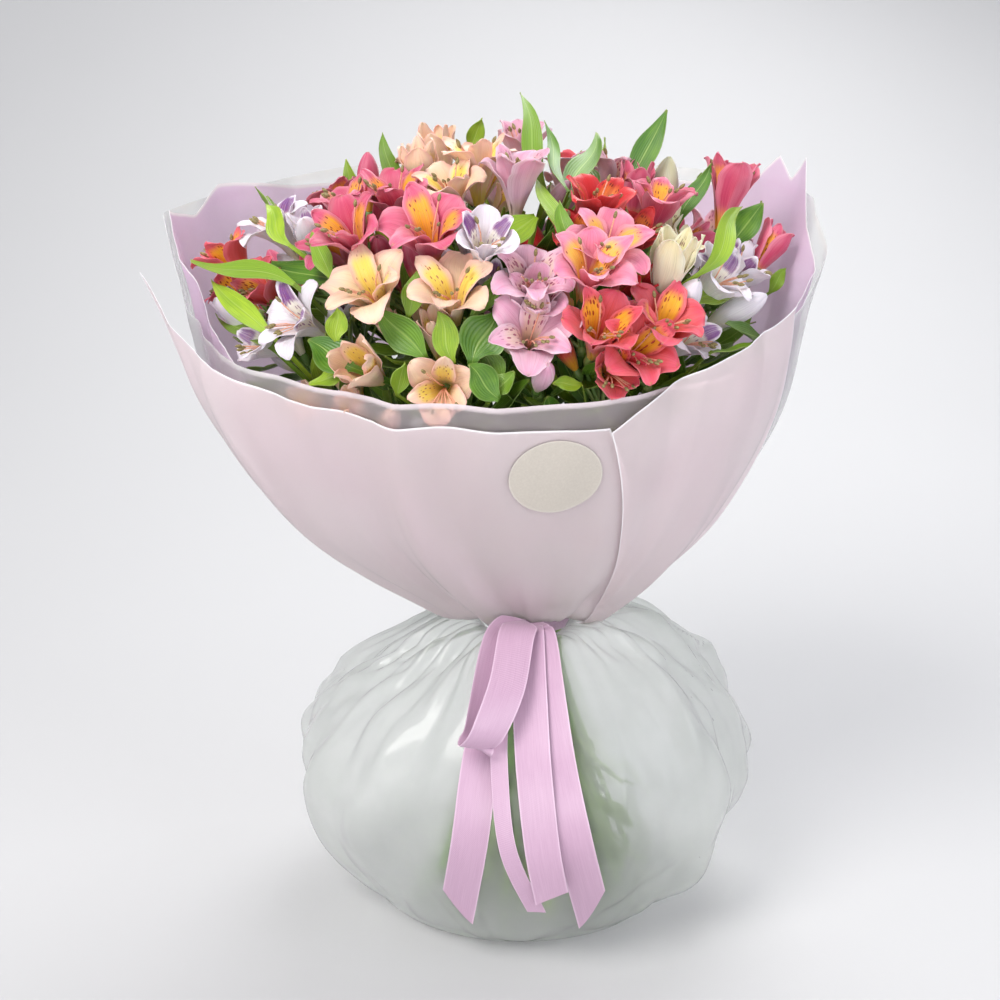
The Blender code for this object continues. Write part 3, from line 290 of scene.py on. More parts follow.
def bloomMarks(bloom):
    size, opened, axis, place = bloom["size"] * mm, bloom["open"], bloom["axis"], bloom["place"]
    if opened == 0:
        marks = [place + axis * 19 * size]
        for k in range(6):
            turn = math.tau * (k + 0.5) / 6
            rim = Vector((7.8 * math.cos(turn), 7.8 * math.sin(turn), 0))
            marks.append(place + bloom["frame"] @ rim * size)
        return marks
    marks = [place - axis * 9 * size]
    for k in range(6):
        broad = k % 2 == 0
        tip = (mix(8, 27 if broad else 24, opened), mix(26, 6 if broad else 13, opened))
        turn = bloom["frame"] @ Matrix.Rotation(math.radians(60 * k + 60), 3, "Z")
        for side in ((-1, 1) if broad else (0,)):
            marks.append(place + turn @ Vector((tip[0], side * mix(1.6, 4.0, opened), tip[1])) * size)
    return marks


def findBloom(wish, hub, tree):
    sink = (wish["place"] - hub).normalized() * mm
    across = turnTo(wish["axis"])
    best, most = wish, 1
    for share, opened, shift, slide, spin in itertools.product(*bloomTries.values()):
        place = wish["place"] + sink * shift + across @ Vector((*slide, 0)) * mm
        trial = newBloom(place, wish["axis"], wish["open"] * opened, wish["size"] * share,
                         wish["spin"] + spin)
        marks = bloomMarks(trial)
        if hits(tree, marks[:3]):
            found = hits(tree, marks)
            if found > most:
                best, most = trial, found
    return best, most


def findUmbels():
    umbels = wishedUmbels()
    tie = Vector((0, 0, bundle["tieHeight"]))
    for umbel in umbels.values():
        middle = sum((b["place"] for b in umbel["blooms"]), Vector()) / len(umbel["blooms"])
        umbel["hub"] = middle - (middle - tie).normalized() * dome["hubDepth"]
        umbel["lean"] = Vector((umbel["hub"].x, umbel["hub"].y, 0)) / (dome["reach"].x * 0.8)
        umbel["leaves"] = []
    spreadLeans([umbel["lean"] for umbel in umbels.values()])
    missed = 0
    for name, umbel in umbels.items():
        umbel["line"], umbel["way"] = stalkLine(umbel["lean"], umbel["hub"])
        tree = cornersOf("umbel_" + name)
        found = [findBloom(bloom, umbel["hub"], tree) for bloom in umbel["blooms"]]
        umbel["blooms"] = [bloom for bloom, _ in found]
        missed += sum(count < 3 for _, count in found)
    print("flowers found in the frame, missed:", missed)
    return umbels


def wishedLeaves():
    leaves = []
    for px, py, depth, tipPx, tipPy, tipDepth, width in leafPicks:
        low, tip = onDome(px, py, depth * mm), onDome(tipPx, tipPy, tipDepth * mm)
        face = (-sight(px, py).normalized() + Vector((0, 0, 0.5))).normalized()
        leaves.append((low, tip, face, width * mm))
    draw = random.Random(23)
    for k in range(hidden["farLeaves"] + hidden["innerLeaves"]):
        far = k < hidden["farLeaves"]
        turn = math.radians(100 + 160 * (k + 0.5) / hidden["farLeaves"] if far else k * 137.5)
        out = draw.uniform(0.55, 0.92) if far else draw.uniform(0.35, 0.8)
        low = domePoint(out * math.sin(turn), -out * math.cos(turn), 0.9 if far else 0.66)
        outward = domeNormal(low)
        reach = draw.uniform(48, 70) * mm if far else draw.uniform(34, 48) * mm
        tip = low + (outward + Vector((0, 0, draw.uniform(0.3, 1.0)))).normalized() * reach
        face = outward.cross(Vector((-outward.y, outward.x, 0)).normalized())
        leaves.append((low, tip, -face if face.z < 0 else face, draw.uniform(13, 20) * mm))
    return leaves


def leafMarks(found):
    low, tip, face = found["low"], found["tip"], found["face"]
    middle = (low + tip) / 2 + face * (tip - low).length * found["arch"]
    marks = []
    for t, share in ((0.32, 0.95), (0.68, 0.74)):
        centre = low * (1 - t) ** 2 + middle * 2 * t * (1 - t) + tip * t ** 2
        way = (middle - low) * (1 - t) + (tip - middle) * t
        side = way.cross(face).normalized() * found["width"] / 2 * share
        marks += [centre - side, centre + side]
    return marks


def findLeaves(umbels):
    trees = {name: cornersOf("stem_" + name) for name in umbels}
    count = added = 0
    for k, (low, tip, face, width) in enumerate(wishedLeaves()):
        lengthwise = (tip - low).normalized()
        away = (tip - dome["centre"]).normalized() * mm
        aside = lengthwise.cross(face).normalized() * mm
        best, most = None, 1
        for length, lift, slide in itertools.product(*leafTries.values()):
            end = low.lerp(tip, length) + away * lift + aside * slide
            owner = next((name for name, tree in trees.items() if tree.find(end)[2] < near), None)
            if owner is None:
                continue
            for share, roll, arch in itertools.product(*leafTurns.values()):
                turned = face.copy()
                turned.rotate(Matrix.Rotation(math.radians(roll), 3, lengthwise))
                trial = {"low": low + away * lift * 0.6 + aside * slide, "face": turned,
                         "width": width * share, "tip": end, "arch": arch}
                found = hits(trees[owner], leafMarks(trial))
                if found > most:
                    best, most = (owner, trial), found
        if best:
            umbels[best[0]]["leaves"].append(best[1])
            count += 1
        elif k < len(leafPicks):  # one that the photo shows and the solids lack
            owner = min(umbels.values(), key=lambda umbel: (umbel["hub"] - low).length)
            owner["leaves"].append({"low": low, "face": face, "width": width, "tip": tip, "arch": 0.1})
            added += 1
    print("leaves found in the frame:", count, "and added beside them:", added)


umbels = findUmbels()
findLeaves(umbels)


# Shapes in grids of points. Each point keeps a spot for its material: u across the grid from -1 to 1, v down
# its rows, and a tone of the piece's own.

def ease(t):
    t = np.clip(t, 0, 1)
    return t * t * (3 - 2 * t)


def along(points, t):  # the smooth curve through points, for a whole array of t
    points, t = np.asarray(points, float), np.asarray(t, float)
    last = len(points) - 1
    i = np.clip(t.astype(int), 0, last - 1)
    f = np.clip(t - i, 0, 1)[..., None]
    p0, p1, p2, p3 = (points[np.clip(k, 0, last)] for k in (i - 1, i, i + 1, i + 2))
    return 0.5 * (2 * p1 + (p2 - p0) * f + (2 * p0 - 5 * p1 + 4 * p2 - p3) * f ** 2
                  + (3 * p1 - 3 * p2 + p3 - p0) * f ** 3)


def unit(ways):
    return ways / np.maximum(np.linalg.norm(ways, axis=-1, keepdims=True), 1e-9)


def newPiece():
    return {"points": [], "spots": [], "quads": [], "quadKinds": [], "tris": [], "triKinds": [], "count": 0}


def addPoints(piece, points, spots):
    first = piece["count"]
    piece["points"].append(points.reshape(-1, 3))
    piece["spots"].append(spots.reshape(-1, 3))
    piece["count"] += points.size // 3
    return first


def addFaces(piece, faces, kind):
    name = "quads" if faces.shape[-1] == 4 else "tris"
    faces = faces.reshape(-1, faces.shape[-1])
    piece[name].append(faces)
    piece[name[:-1] + "Kinds"] += [kind] * len(faces)


def gridQuads(ids):  # the faces between neighbouring rows and columns of point numbers
    return np.stack([ids[:-1, :-1], ids[:-1, 1:], ids[1:, 1:], ids[1:, :-1]], axis=-1)


def addSheet(piece, grid, thick, kind, tone=0.5, v=None, closed=False):
    # A thin sheet over a grid: a front, a back and its edges. A closed one runs round and meets itself.
    rows, cols = grid.shape[:2]
    v = np.linspace(0, 1, rows) if v is None else v
    u = np.linspace(-1, 1, cols, endpoint=not closed)
    spots = np.stack(np.broadcast_arrays(u[None, :], v[:, None], tone), axis=-1)
    if closed:
        across = (np.roll(grid, -1, axis=1) - np.roll(grid, 1, axis=1)) / 2
    else:
        across = np.gradient(grid, axis=1)
    normal = unit(np.cross(across, np.gradient(grid, axis=0)))
    sides = []
    for offset in (thick / 2, -thick / 2):
        first = addPoints(piece, grid + normal * offset, spots)
        ids = first + np.arange(rows * cols).reshape(rows, cols)
        sides.append(np.concatenate([ids, ids[:, :1]], axis=1) if closed else ids)
    front, rear = sides
    addFaces(piece, gridQuads(front), kind)
    addFaces(piece, gridQuads(rear)[..., ::-1], kind)
    edges = [np.s_[0, :], np.s_[-1, ::-1]]
    if not closed:
        edges += [np.s_[::-1, 0], np.s_[:, -1]]
    for edge in edges:
        a, b = front[edge], rear[edge]
        addFaces(piece, np.stack([a[:-1], b[:-1], b[1:], a[1:]], axis=-1), kind)


def addTube(piece, line, radius, kind, sides=8, tone=0.5, ribs=0.0, twist=0.0, flat=1.0):
    # A closed round tube along a line of points, with a radius for each point
    line, radius = np.asarray(line, float), np.broadcast_to(radius, len(line))
    way = unit(np.gradient(line, axis=0))
    side = np.cross(way[0], (0.0, 1.0, 0.1))
    if np.linalg.norm(side) < 0.2:
        side = np.cross(way[0], (1.0, 0.0, 0.0))
    rings = []
    turn = np.arange(sides) * math.tau / sides
    for k, (place, ahead) in enumerate(zip(line, way)):
        side = unit(side - ahead * side.dot(ahead))
        other = np.cross(ahead, side)
        out = radius[k] * (1 + ribs * np.cos(2 * turn - twist * k))[:, None]
        rings.append(place + out * (np.cos(turn)[:, None] * side + flat * np.sin(turn)[:, None] * other))
    rows = len(line)
    u, v = np.linspace(-1, 1, sides), np.linspace(0, 1, rows)
    spots = np.stack(np.broadcast_arrays(u[None, :], v[:, None], tone), axis=-1)
    first = addPoints(piece, np.array(rings), spots)
    ids = first + np.arange(rows * sides).reshape(rows, sides)
    addFaces(piece, gridQuads(np.concatenate([ids, ids[:, :1]], axis=1)), kind)
    for row, end, turned in ((0, line[0], 1), (-1, line[-1], -1)):
        centre = addPoints(piece, end, spots[row, 0])
        ring = ids[row]
        fan = np.stack([np.roll(ring, -1), ring, np.full(sides, centre)], axis=-1)
        addFaces(piece, fan[:, ::turned], kind)


def makePiece(name, piece, materials, replaced):
    mesh = bpy.data.meshes.new(name)
    points = np.concatenate(piece["points"]).astype(np.float32)
    quads = np.concatenate(piece["quads"]).astype(np.int32)
    tris = np.concatenate([np.zeros((0, 3)), *piece["tris"]]).astype(np.int32)
    mesh.vertices.add(len(points))
    mesh.vertices.foreach_set("co", points.ravel())
    mesh.loops.add(quads.size + tris.size)
    mesh.loops.foreach_set("vertex_index", np.concatenate([quads.ravel(), tris.ravel()]))
    starts = np.concatenate([np.arange(len(quads)) * 4, quads.size + np.arange(len(tris)) * 3])
    mesh.polygons.add(len(starts))
    mesh.polygons.foreach_set("loop_start", starts.astype(np.int32))
    kinds = piece["quadKinds"] + piece["triKinds"]
    order = sorted(set(kinds))
    mesh.polygons.foreach_set("material_index", [order.index(kind) for kind in kinds])
    mesh.polygons.foreach_set("use_smooth", [True] * len(starts))
    mesh.update(calc_edges=True)
    mesh.set_sharp_from_angle(angle=math.radians(75))
    spots = mesh.attributes.new("spot", "FLOAT_VECTOR", "POINT")
    spots.data.foreach_set("vector", np.concatenate(piece["spots"]).astype(np.float32).ravel())
    for kind in order:
        mesh.materials.append(materials[kind])
    obj = bpy.data.objects.new(name, mesh)
    bpy.context.scene.collection.objects.link(obj)
    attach(obj, "root")
    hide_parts(replaced)
    return obj


# Flowers, whose sizes are mm at a size of 1. Half is half a tepal's width, shut and open.
# A flower under the size of "small" gets tepals with fewer rows and columns
petal = {"grid": (16, 9), "smallGrid": (11, 7), "small": 0.83,
         "half": {"broad": (8.4, 11.8), "narrow": (5.4, 7.8)}, "thick": 0.32 * mm, "ruffle": 1.5, "keel": 0.5,
         "ragged": 0.05, "rib": 0.14, "budWrap": 1.25}
# Radius and height in mm along the middle of a tepal, from its foot to its tip
tepalSpines = {
    "broadOpen": [(2.2, -22), (3.6, -14), (5.6, -6), (9.5, 1.5), (15.5, 6.5), (21.5, 8), (27.0, 6)],
    "broadShut": [(2.2, -22), (4.6, -15), (6.4, -8), (7.4, 0), (7.6, 8), (6.6, 17), (5.0, 25)],
    "narrowOpen": [(1.8, -22), (3.0, -14), (4.8, -5), (8.0, 4), (13.0, 9.5), (18.5, 12.5), (24.5, 13)],
    "narrowShut": [(1.6, -22), (3.6, -15), (5.0, -8), (5.8, 0), (6.0, 8), (5.4, 16), (4.4, 24)],
    "bud": [(2.2, -22), (5.0, -14), (7.2, -5), (7.6, 3), (6.4, 10), (3.6, 16), (0.8, 19)],
}


def placed(bloom, spots, spin=0.0):  # from a flower's own mm, with z along its axis, into the frame
    turn = np.array(bloom["frame"] @ Matrix.Rotation(math.radians(spin), 3, "Z"))
    return np.array(bloom["place"]) + (spots * bloom["size"] * mm) @ turn.T


def tepalGrid(bloom, k, draw):
    name, opened, bud = "narrow" if k % 2 else "broad", bloom["open"], bloom["open"] == 0
    rows, columns = petal["grid"] if bloom["size"] >= petal["small"] else petal["smallGrid"]
    s = np.linspace(0, 1, rows)
    v = s * (1.4 - 0.4 * s)
    if bud:
        spine = np.array(tepalSpines["bud"], float)
    else:
        spine = mix(np.array(tepalSpines[name + "Shut"], float), np.array(tepalSpines[name + "Open"], float),
                    min(opened * draw.uniform(0.85, 1.12), 1.12))
    line = along(spine, v * (len(spine) - 1))
    line[:, 0] *= 1 + draw.uniform(-0.05, 0.05) * v
    line[:, 1] += draw.uniform(-2.2, 2.2) * v ** 2 * (0 if bud else 1)
    slope = unit(np.gradient(line, axis=0))
    normal = np.stack([-slope[:, 1], slope[:, 0]], axis=-1)
    half = mix(*petal["half"][name], opened) * draw.uniform(0.95, 1.05)
    width = half * (0.2 + 0.8 * ease(v / 0.62)) * (1 - np.clip((v - 0.58) / 0.42, 0, 1) ** 1.75) ** 0.72
    if bud:
        width = np.maximum(line[:, 0] * petal["budWrap"], 0.3)
        curve = np.maximum(line[:, 0], 1.5)
    else:
        curve = mix(np.maximum(line[:, 0], 2), 3 * half, opened * ease(1.4 * v))
    u = np.linspace(-1, 1, columns)[None, :]
    ragged = np.sin(17 * v + draw.uniform(0, 6)) + 0.6 * np.sin(31 * v + draw.uniform(0, 6))
    ragged = petal["ragged"] * ragged
    uneven = np.where(u > 0, 1 + ragged[:, None], 1 + 0.8 * ragged[::-1][:, None]) if not bud else 1
    reach, bend = width[:, None] * u * uneven, curve[:, None]
    side = bend * np.sin(reach / bend)
    lift = bend * (1 - np.cos(reach / bend))
    tall = v[:, None]
    if not bud:
        phase = draw.uniform(0, math.tau)
        lift += petal["ruffle"] * np.sin(9 * tall + phase + 2.4 * u) * np.abs(u) ** 2.2 * ease(2 * tall - 0.5)
        lift += 0.4 * petal["ruffle"] * np.sin(23 * tall + 2 * phase) * np.abs(u) ** 4 * ease(2 * tall - 0.6)
        lift += petal["rib"] * np.cos(math.pi * 4 * u)
        lift -= petal["keel"] * np.exp(-(u / 0.16) ** 2) * ease(3 * tall) * (1 - ease(4 * tall - 3))
        lift += reach * draw.uniform(-0.16, 0.16) * tall
    x = line[:, :1] + normal[:, :1] * lift
    z = line[:, 1:] + normal[:, 1:] * lift
    return placed(bloom, np.stack([x, side, z], axis=-1).reshape(-1, 3), 60 * k + 60).reshape(*x.shape, 3), v


# Stamens and a pistil in a flower that is open by more than "from", and the radii in mm of an anther
stamens = {"from": 0.45, "count": 6, "thick": 0.42 * mm, "spread": 55,
           "anther": [0.3, 0.95, 1.1, 1.05, 0.8, 0.25]}


def addStamens(piece, bloom, draw):
    low = lowestTurn(bloom)
    for k in range(stamens["count"] + 1):
        aside = draw.uniform(-stamens["spread"], stamens["spread"])
        turn = math.radians(low + aside + (0 if k < 4 else 180 * (k % 2)))
        reach = draw.uniform(0.75, 1.05)
        bend = draw.uniform(6, 9) * reach
        path = np.array([(0.8, 0, -14), (1.6, 0, -6), (3.4, 0, 1), (bend, 0, 8 * reach),
                         (bend + 4, 0, 14 * reach)])
        line = along(path, np.linspace(0, 4, 8))
        c, s = math.cos(turn), math.sin(turn)
        x, y, z = line.T
        line = np.stack([x * c - y * s, x * s + y * c, z], axis=-1)
        where = placed(bloom, line)
        addTube(piece, where, stamens["thick"], "filament", 4, draw.random())
        if k < stamens["count"]:
            way = unit(where[-1] - where[-2])
            tip = where[-1] + way * np.linspace(-1.2, 3.4, 6)[:, None] * mm
            addTube(piece, tip, np.array(stamens["anther"]) * mm, "anther", 6, draw.random())


def lowestTurn(bloom):  # the direction round a flower's axis that points down most
    across = [bloom["frame"] @ Vector((math.cos(a), math.sin(a), 0)) for a in np.radians(range(0, 360, 10))]
    return 10 * min(range(36), key=lambda k: across[k].z)


def addBloom(piece, bloom, hub, variety, draw):
    opened, size = bloom["open"], bloom["size"]
    low = lowestTurn(bloom)
    for k in range(0, 6, 2 if opened == 0 else 1):
        grid, v = tepalGrid(bloom, k, draw)
        away = abs((60 * k + 60 - low + 180) % 360 - 180)
        marked = k % 2 == 1 and away > 50
        addSheet(piece, grid, petal["thick"], variety + ("_inner" if marked else "_outer"), draw.random(), v)
    if opened > stamens["from"]:
        addStamens(piece, bloom, draw)
    heights = np.array([-31, -29.5, -27, -24, -21.5, -20])
    seat = placed(bloom, np.stack([heights * 0, heights * 0, heights], axis=-1))
    ovary = np.array([1.2, 2.4, 3.3, 3.3, 2.6, 1.9]) * size * mm
    addTube(piece, seat, ovary, "green", 12, draw.random(), 0.06)
    way = np.array(bloom["axis"])
    hub = np.array(hub)
    reach = np.linalg.norm(seat[0] - hub)
    path = [hub, hub + (seat[0] - hub) * 0.4 - way * reach * 0.06, seat[0] - way * reach * 0.18,
            seat[0] + way * mm]
    stalk = np.linspace(1.35, 1.15, 10) * mm
    addTube(piece, along(path, np.linspace(0, 3, 10)), stalk, "green", 6, draw.random())


# More buds and small flowers: how many are tried and kept at an umbel, and how far apart
cluster = {"tries": 14, "most": 4, "apart": 21 * mm, "inside": 0.95}


def fillBlooms(umbel, draw):
    # Small buds and half-open flowers between the main ones, where there is room
    hub, turned = umbel["hub"], turnTo(umbel["way"])
    made = []
    for k in range(cluster["tries"]):
        turn, lean = math.radians(137.5 * k + draw.uniform(-20, 20)), math.radians(draw.uniform(10, 62))
        around = turned @ Vector((math.cos(turn), math.sin(turn), 0))
        ahead = (umbel["way"] * math.cos(lean) + around * math.sin(lean)).normalized()
        place = hub + ahead * dome["hubDepth"] * draw.uniform(0.78, 0.98)
        others = [b["place"] for u in umbels.values() for b in u["blooms"]] + [b["place"] for b in made]
        if domeScaled(place - dome["centre"]).length > cluster["inside"] or not clearOfCollar(place, 16 * mm):
            continue
        if min((place - other).length for other in others) < cluster["apart"]:
            continue
        opened, size = draw.choice((0.0, 0.0, 0.3, 0.55)), draw.uniform(0.62, 0.82)
        made.append(newBloom(place, ahead, opened, size, draw.uniform(0, 60)))
    return made[:cluster["most"]]


def clearOfCollar(place, room):  # whether a place lies inside the collar with room to spare
    x, y = place[0] - wrap["collarShift"][0], (place[1] - wrap["collarShift"][1]) / wrap["collarDepth"]
    return math.hypot(x, y) < float(np.interp(place[2] / mm, collarHeights, collarRadii)) * mm - room


def addHub(piece, umbel, draw):  # the knob where the flowers' stalks meet
    hub, way = np.array(umbel["hub"]), np.array(umbel["way"])
    line = hub + way * np.array([-4, -2, 0, 1.6, 2.6])[:, None] * mm
    addTube(piece, line, np.array([2.3, 2.9, 3.3, 2.6, 0.8]) * mm, "green", 10, draw.random())


# Leaves and stalks

leafShape = {"rows": 15, "fewRows": 9, "columns": 7, "fewColumns": 5, "thick": 0.45 * mm, "fold": 0.25,
             "wave": 1.0, "footHalf": 1.4, "twist": 0.9, "bow": 0.05}
# More leaves for each stem: round its top, low in the collar and in the bag, and slimmer stems beside it
foliage = {"perStem": 12, "inside": 0.99, "low": 7, "bag": 2, "beside": 2, "below": 34 * mm}
# Shares of a leaf's width from its foot to its tip
leafWidths = [0.2, 0.42, 0.72, 0.93, 1.0, 0.95, 0.8, 0.58, 0.32, 0.03]


def addLeaf(piece, low, tip, face, width, arch, foot, tone, draw, fine=True):
    # A leaf from its foot on the stalk: a slim foot, then the blade, folded along its rib
    low, tip, face = (np.array(spot, float) for spot in (low, tip, face))
    middle = (low + tip) / 2 + face * np.linalg.norm(tip - low) * arch
    t = np.linspace(0, 1, leafShape["rows" if fine else "fewRows"])[:, None]
    blade = low * (1 - t) ** 2 + middle * 2 * t * (1 - t) + tip * t ** 2
    reach = np.linalg.norm(tip - low)
    aside = unit(np.cross(tip - low, face)) * reach * leafShape["bow"] * draw.uniform(-1, 1)
    blade += aside * np.sin(math.tau * t)
    stretch = along([foot, foot * 0.5 + low * 0.5, low, blade[3]], np.linspace(0, 2, 6))[:-1]
    spine = np.concatenate([stretch, blade])
    half = width / 2 * along(np.array(leafWidths)[:, None], t[:, 0] * (len(leafWidths) - 1))[:, 0]
    half = np.concatenate([np.linspace(leafShape["footHalf"] * mm, half[0], 6)[:-1], half])
    way = unit(np.gradient(spine, axis=0))
    sides = [None] * len(spine)
    side = unit(np.cross(way[8], face))
    for k in [*range(8, len(spine)), *range(8, -1, -1)]:
        side = sides[8] if k == 8 and sides[8] is not None else side
        side = unit(side - way[k] * side.dot(way[k]))
        sides[k] = side
    sides = np.array(sides)
    twist = leafShape["twist"] * draw.uniform(-1, 1) * np.concatenate([np.zeros((5, 1)), t ** 2])
    sides = sides * np.cos(twist) + np.cross(way, sides) * np.sin(twist)
    out = np.cross(sides, way)
    u = np.linspace(-1, 1, leafShape["columns" if fine else "fewColumns"])
    v = np.concatenate([np.linspace(-0.25, 0, 6)[:-1], t[:, 0]])
    phase = draw.uniform(0, math.tau)
    fold = -(1 - np.abs(u) ** 1.4) * leafShape["fold"] * half[:, None]
    wave = leafShape["wave"] * mm * np.sin(11 * v[:, None] + phase + 1.5 * u)
    wave = wave * np.abs(u) ** 3 * ease(2 * v)[:, None]
    across, lift = (half[:, None] * u)[..., None], (fold + wave)[..., None]
    grid = spine[:, None] + sides[:, None] * across + out[:, None] * lift
    addSheet(piece, grid, leafShape["thick"], "leaf", tone, v)


def onStalk(umbel, place):  # where on a stem a leaf starts, some way below it
    line = [np.array(spot) for spot in umbel["line"]]
    share = (place[2] - foliage["below"] - line[0][2]) / (line[-1][2] - line[0][2])
    height = line[0][2] + min(max(share, 0.2), 0.94) * (line[-1][2] - line[0][2])
    for a, b in zip(line, line[1:]):
        if a[2] <= height <= b[2]:
            return a + (b - a) * (height - a[2]) / (b[2] - a[2])
    return line[-1]


def fillLeaves(umbel, draw):  # more leaves round the top of a stem, rising between the flowers
    hub, way = Vector(umbel["hub"]), Vector(umbel["way"])
    frameTurn = turnTo(way)
    leaves = []
    for k in range(foliage["perStem"]):
        turn = math.radians(137.5 * k + draw.uniform(-25, 25))
        lean = math.radians(draw.uniform(28, 70))
        around = frameTurn @ Vector((math.cos(turn), math.sin(turn), 0))
        ahead = (way * math.cos(lean) + around * math.sin(lean)).normalized()
        low = hub - way * draw.uniform(2, 26) * mm + around * 4 * mm + ahead * 6 * mm
        reach = draw.uniform(36, 60) * mm
        tip = low + ahead * reach
        while domeScaled(tip - dome["centre"]).length > foliage["inside"] and reach > 15 * mm:
            reach *= 0.9
            tip = low + ahead * reach
        if reach < 20 * mm or not (clearOfCollar(tip, 9 * mm) and clearOfCollar(low.lerp(tip, 0.5), 12 * mm)):
            continue
        face = (frameTurn @ Vector((0, 0, 1)) - ahead * 0.6).normalized()
        width, arch = draw.uniform(11, 19) * mm, -draw.uniform(0.0, 0.16)
        foot = np.array(low - ahead * 7 * mm)
        leaves.append(dict(low=low, tip=tip, face=face, width=width, arch=arch, foot=foot))
    return leaves


def lowLeaves(umbel, draw):  # leaves lower on a stem, which fill the collar, and a few in the bag
    line = np.array([tuple(spot) for spot in umbel["line"]])
    leaves = []
    for k in range(foliage["low"] + foliage["bag"]):
        inBag = k >= foliage["low"]
        foot = along(line, draw.uniform(0.5, 1.6) if inBag else draw.uniform(4.05, 4.75))
        turn = math.radians(137.5 * k + draw.uniform(-30, 30))
        steep = draw.uniform(0.5, 1.3) * (-1 if inBag else 1)
        ahead = unit(np.array((math.cos(turn), math.sin(turn), steep)))
        low = foot + ahead * 9 * mm
        tip = low + ahead * draw.uniform(38, 62) * mm
        if inBag:
            tip[:2] *= min(1, 88 * mm / np.linalg.norm(tip[:2]))
            tip[2] = max(tip[2], 8 * mm)
        elif not (clearOfCollar(tip, 12 * mm) and domeScaled(Vector(tip) - dome["centre"]).length < 0.93):
            continue
        face = unit(np.array((-ahead[0], -ahead[1], 1.2)))
        width, arch = draw.uniform(12, 20) * mm, draw.uniform(-0.1, 0.1)
        leaves.append(dict(low=low, tip=tip, face=face, width=width, arch=arch, foot=foot))
    return leaves


def addStalk(piece, umbel, draw):  # a stem, with slimmer ones beside it that join it below its flowers
    line = np.array([tuple(spot) for spot in umbel["line"]])
    t = np.linspace(0, len(line) - 1, 38)
    path = along(line, t)
    radius = bundle["stalk"] * (1 + 0.05 * np.sin(t * 9 + draw.uniform(0, 6)) - 0.1 * t / len(line))
    addTube(piece, path, radius, "stalk", 9, draw.random(), 0.04)
    for k in range(foliage["beside"]):
        turn = draw.uniform(0, math.tau)
        start = draw.uniform(0.02, 0.3)
        t = np.linspace(start, 4.7, 22)
        away = np.interp(t, [0, 2, 3, 4, 4.7], [15, 4.5, 3.4, 5, 1]) * mm
        path = along(line, t) + away[:, None] * np.array((math.cos(turn), math.sin(turn), 0))
        addTube(piece, path, bundle["stalk"] * 0.9, "stalk", 7, draw.random(), 0.04)


# The film, the coloured sheets and the ribbon, by angle in degrees and by t, which counts an outline's points
# The collar and the bag: their depth as a share of their width, where they stand, how thick they are, and how
# far apart the collar's layers lie at the neck and at the rim
wrap = {"collarDepth": 0.76, "collarShift": np.array((-20, 5, 0)) * mm, "bagDepth": 0.92,
        "bagShift": np.array((-4, 0, 0)) * mm, "wave": 3.5 * mm, "knotRoom": 4 * mm, "film": 0.25 * mm,
        "sheet": 0.22 * mm, "atNeck": 1.1 * mm, "atRim": 4.0 * mm}
collarTable = np.linspace(0, len(collarOutline) - 1, 2000)
collarRadii, collarHeights = along(collarOutline, collarTable).T
bagSteps = np.linspace(0, len(bagOutline) - 1, 400)
bagPath = along(bagOutline, bagSteps)
bagRuns = np.concatenate([[0], np.cumsum(np.linalg.norm(np.diff(bagPath, axis=0), axis=1))])
bagRuns = bagRuns[-1] - bagRuns  # mm down from the neck


def collarStep(height):  # how far along the collar's outline a height in mm is reached
    return np.interp(height, collarHeights, collarTable)


def rimHeight(rim, angle):
    return np.interp(angle, [a for a, _ in rim], [h for _, h in rim])


def outlinePoint(outline, t, stand):
    spot, before, after = (along(outline, t + d) for d in (0, -0.05, 0.05))
    run = unit(after - before)
    return spot[..., 0] * mm + stand * run[..., 1], spot[..., 1] * mm - stand * run[..., 0]


def knotRoom(angle, r):  # how far the collar and the bag part in front, where the ribbon's knot is
    front = np.maximum(0, np.cos(np.radians(angle))) ** 2
    return wrap["knotRoom"] * front * ease(1 - np.abs(r - 42 * mm) / (26 * mm))


def collarPoint(angle, t, stand=0.0):
    angle, t, stand = np.broadcast_arrays(angle, t, stand)
    turn = np.radians(angle)
    r, z = outlinePoint(collarOutline, t, stand)
    z = z + knotRoom(angle, r)
    r = r + wrap["wave"] * (np.sin(5 * turn + 2.5) + 0.6 * np.sin(8 * turn - 1.6)) * ease((t - 2) / 8)
    wide, shift = ease((r - 0.03) / 0.05), ease((r - 0.03) / 0.18)
    spot = np.stack([r * np.sin(turn), -r * mix(1, wrap["collarDepth"], wide) * np.cos(turn), z], axis=-1)
    return spot + wrap["collarShift"] * shift[..., None]


def bagPoint(angle, t, stand=0.0):
    angle, t, stand = np.broadcast_arrays(angle, t, stand)
    turn = np.radians(angle)
    r, z = outlinePoint(bagOutline, t, stand)
    z = z - knotRoom(angle, r)
    wide = ease((r - 0.03) / 0.06)
    spot = np.stack([r * np.sin(turn), -r * mix(1, wrap["bagDepth"], wide) * np.cos(turn), z], axis=-1)
    return spot + wrap["bagShift"] * wide[..., None]


# The bag's gathered folds, under its shoulder
folds = {"count": 12, "depth": 3.2 * mm}
foldDraw = random.Random(4)
foldSigns = [-1, 1] * folds["count"]
foldAngles = [(k + foldDraw.uniform(-0.12, 0.12)) * 180 / folds["count"] - 180 for k in range(len(foldSigns))]


def foldShare(angle):  # from -1 in a valley of the gathered bag to 1 on a ridge
    first = foldAngles[0]
    return np.interp((angle - first) % 360 + first, [*foldAngles, first + 360], [*foldSigns, foldSigns[0]])


def shoulder(t):  # 1 where the bag is gathered most, 0 at its neck and its foot
    return ease(np.maximum(0, 1 - np.abs(t - 8.5) / 5.5) * 1.4)


def tent(x):  # a straight-sided ridge with a rounded top, 1 at 0 and 0 from 1.2 on
    return np.maximum(0, 1.2 - np.sqrt(x * x + 0.04))


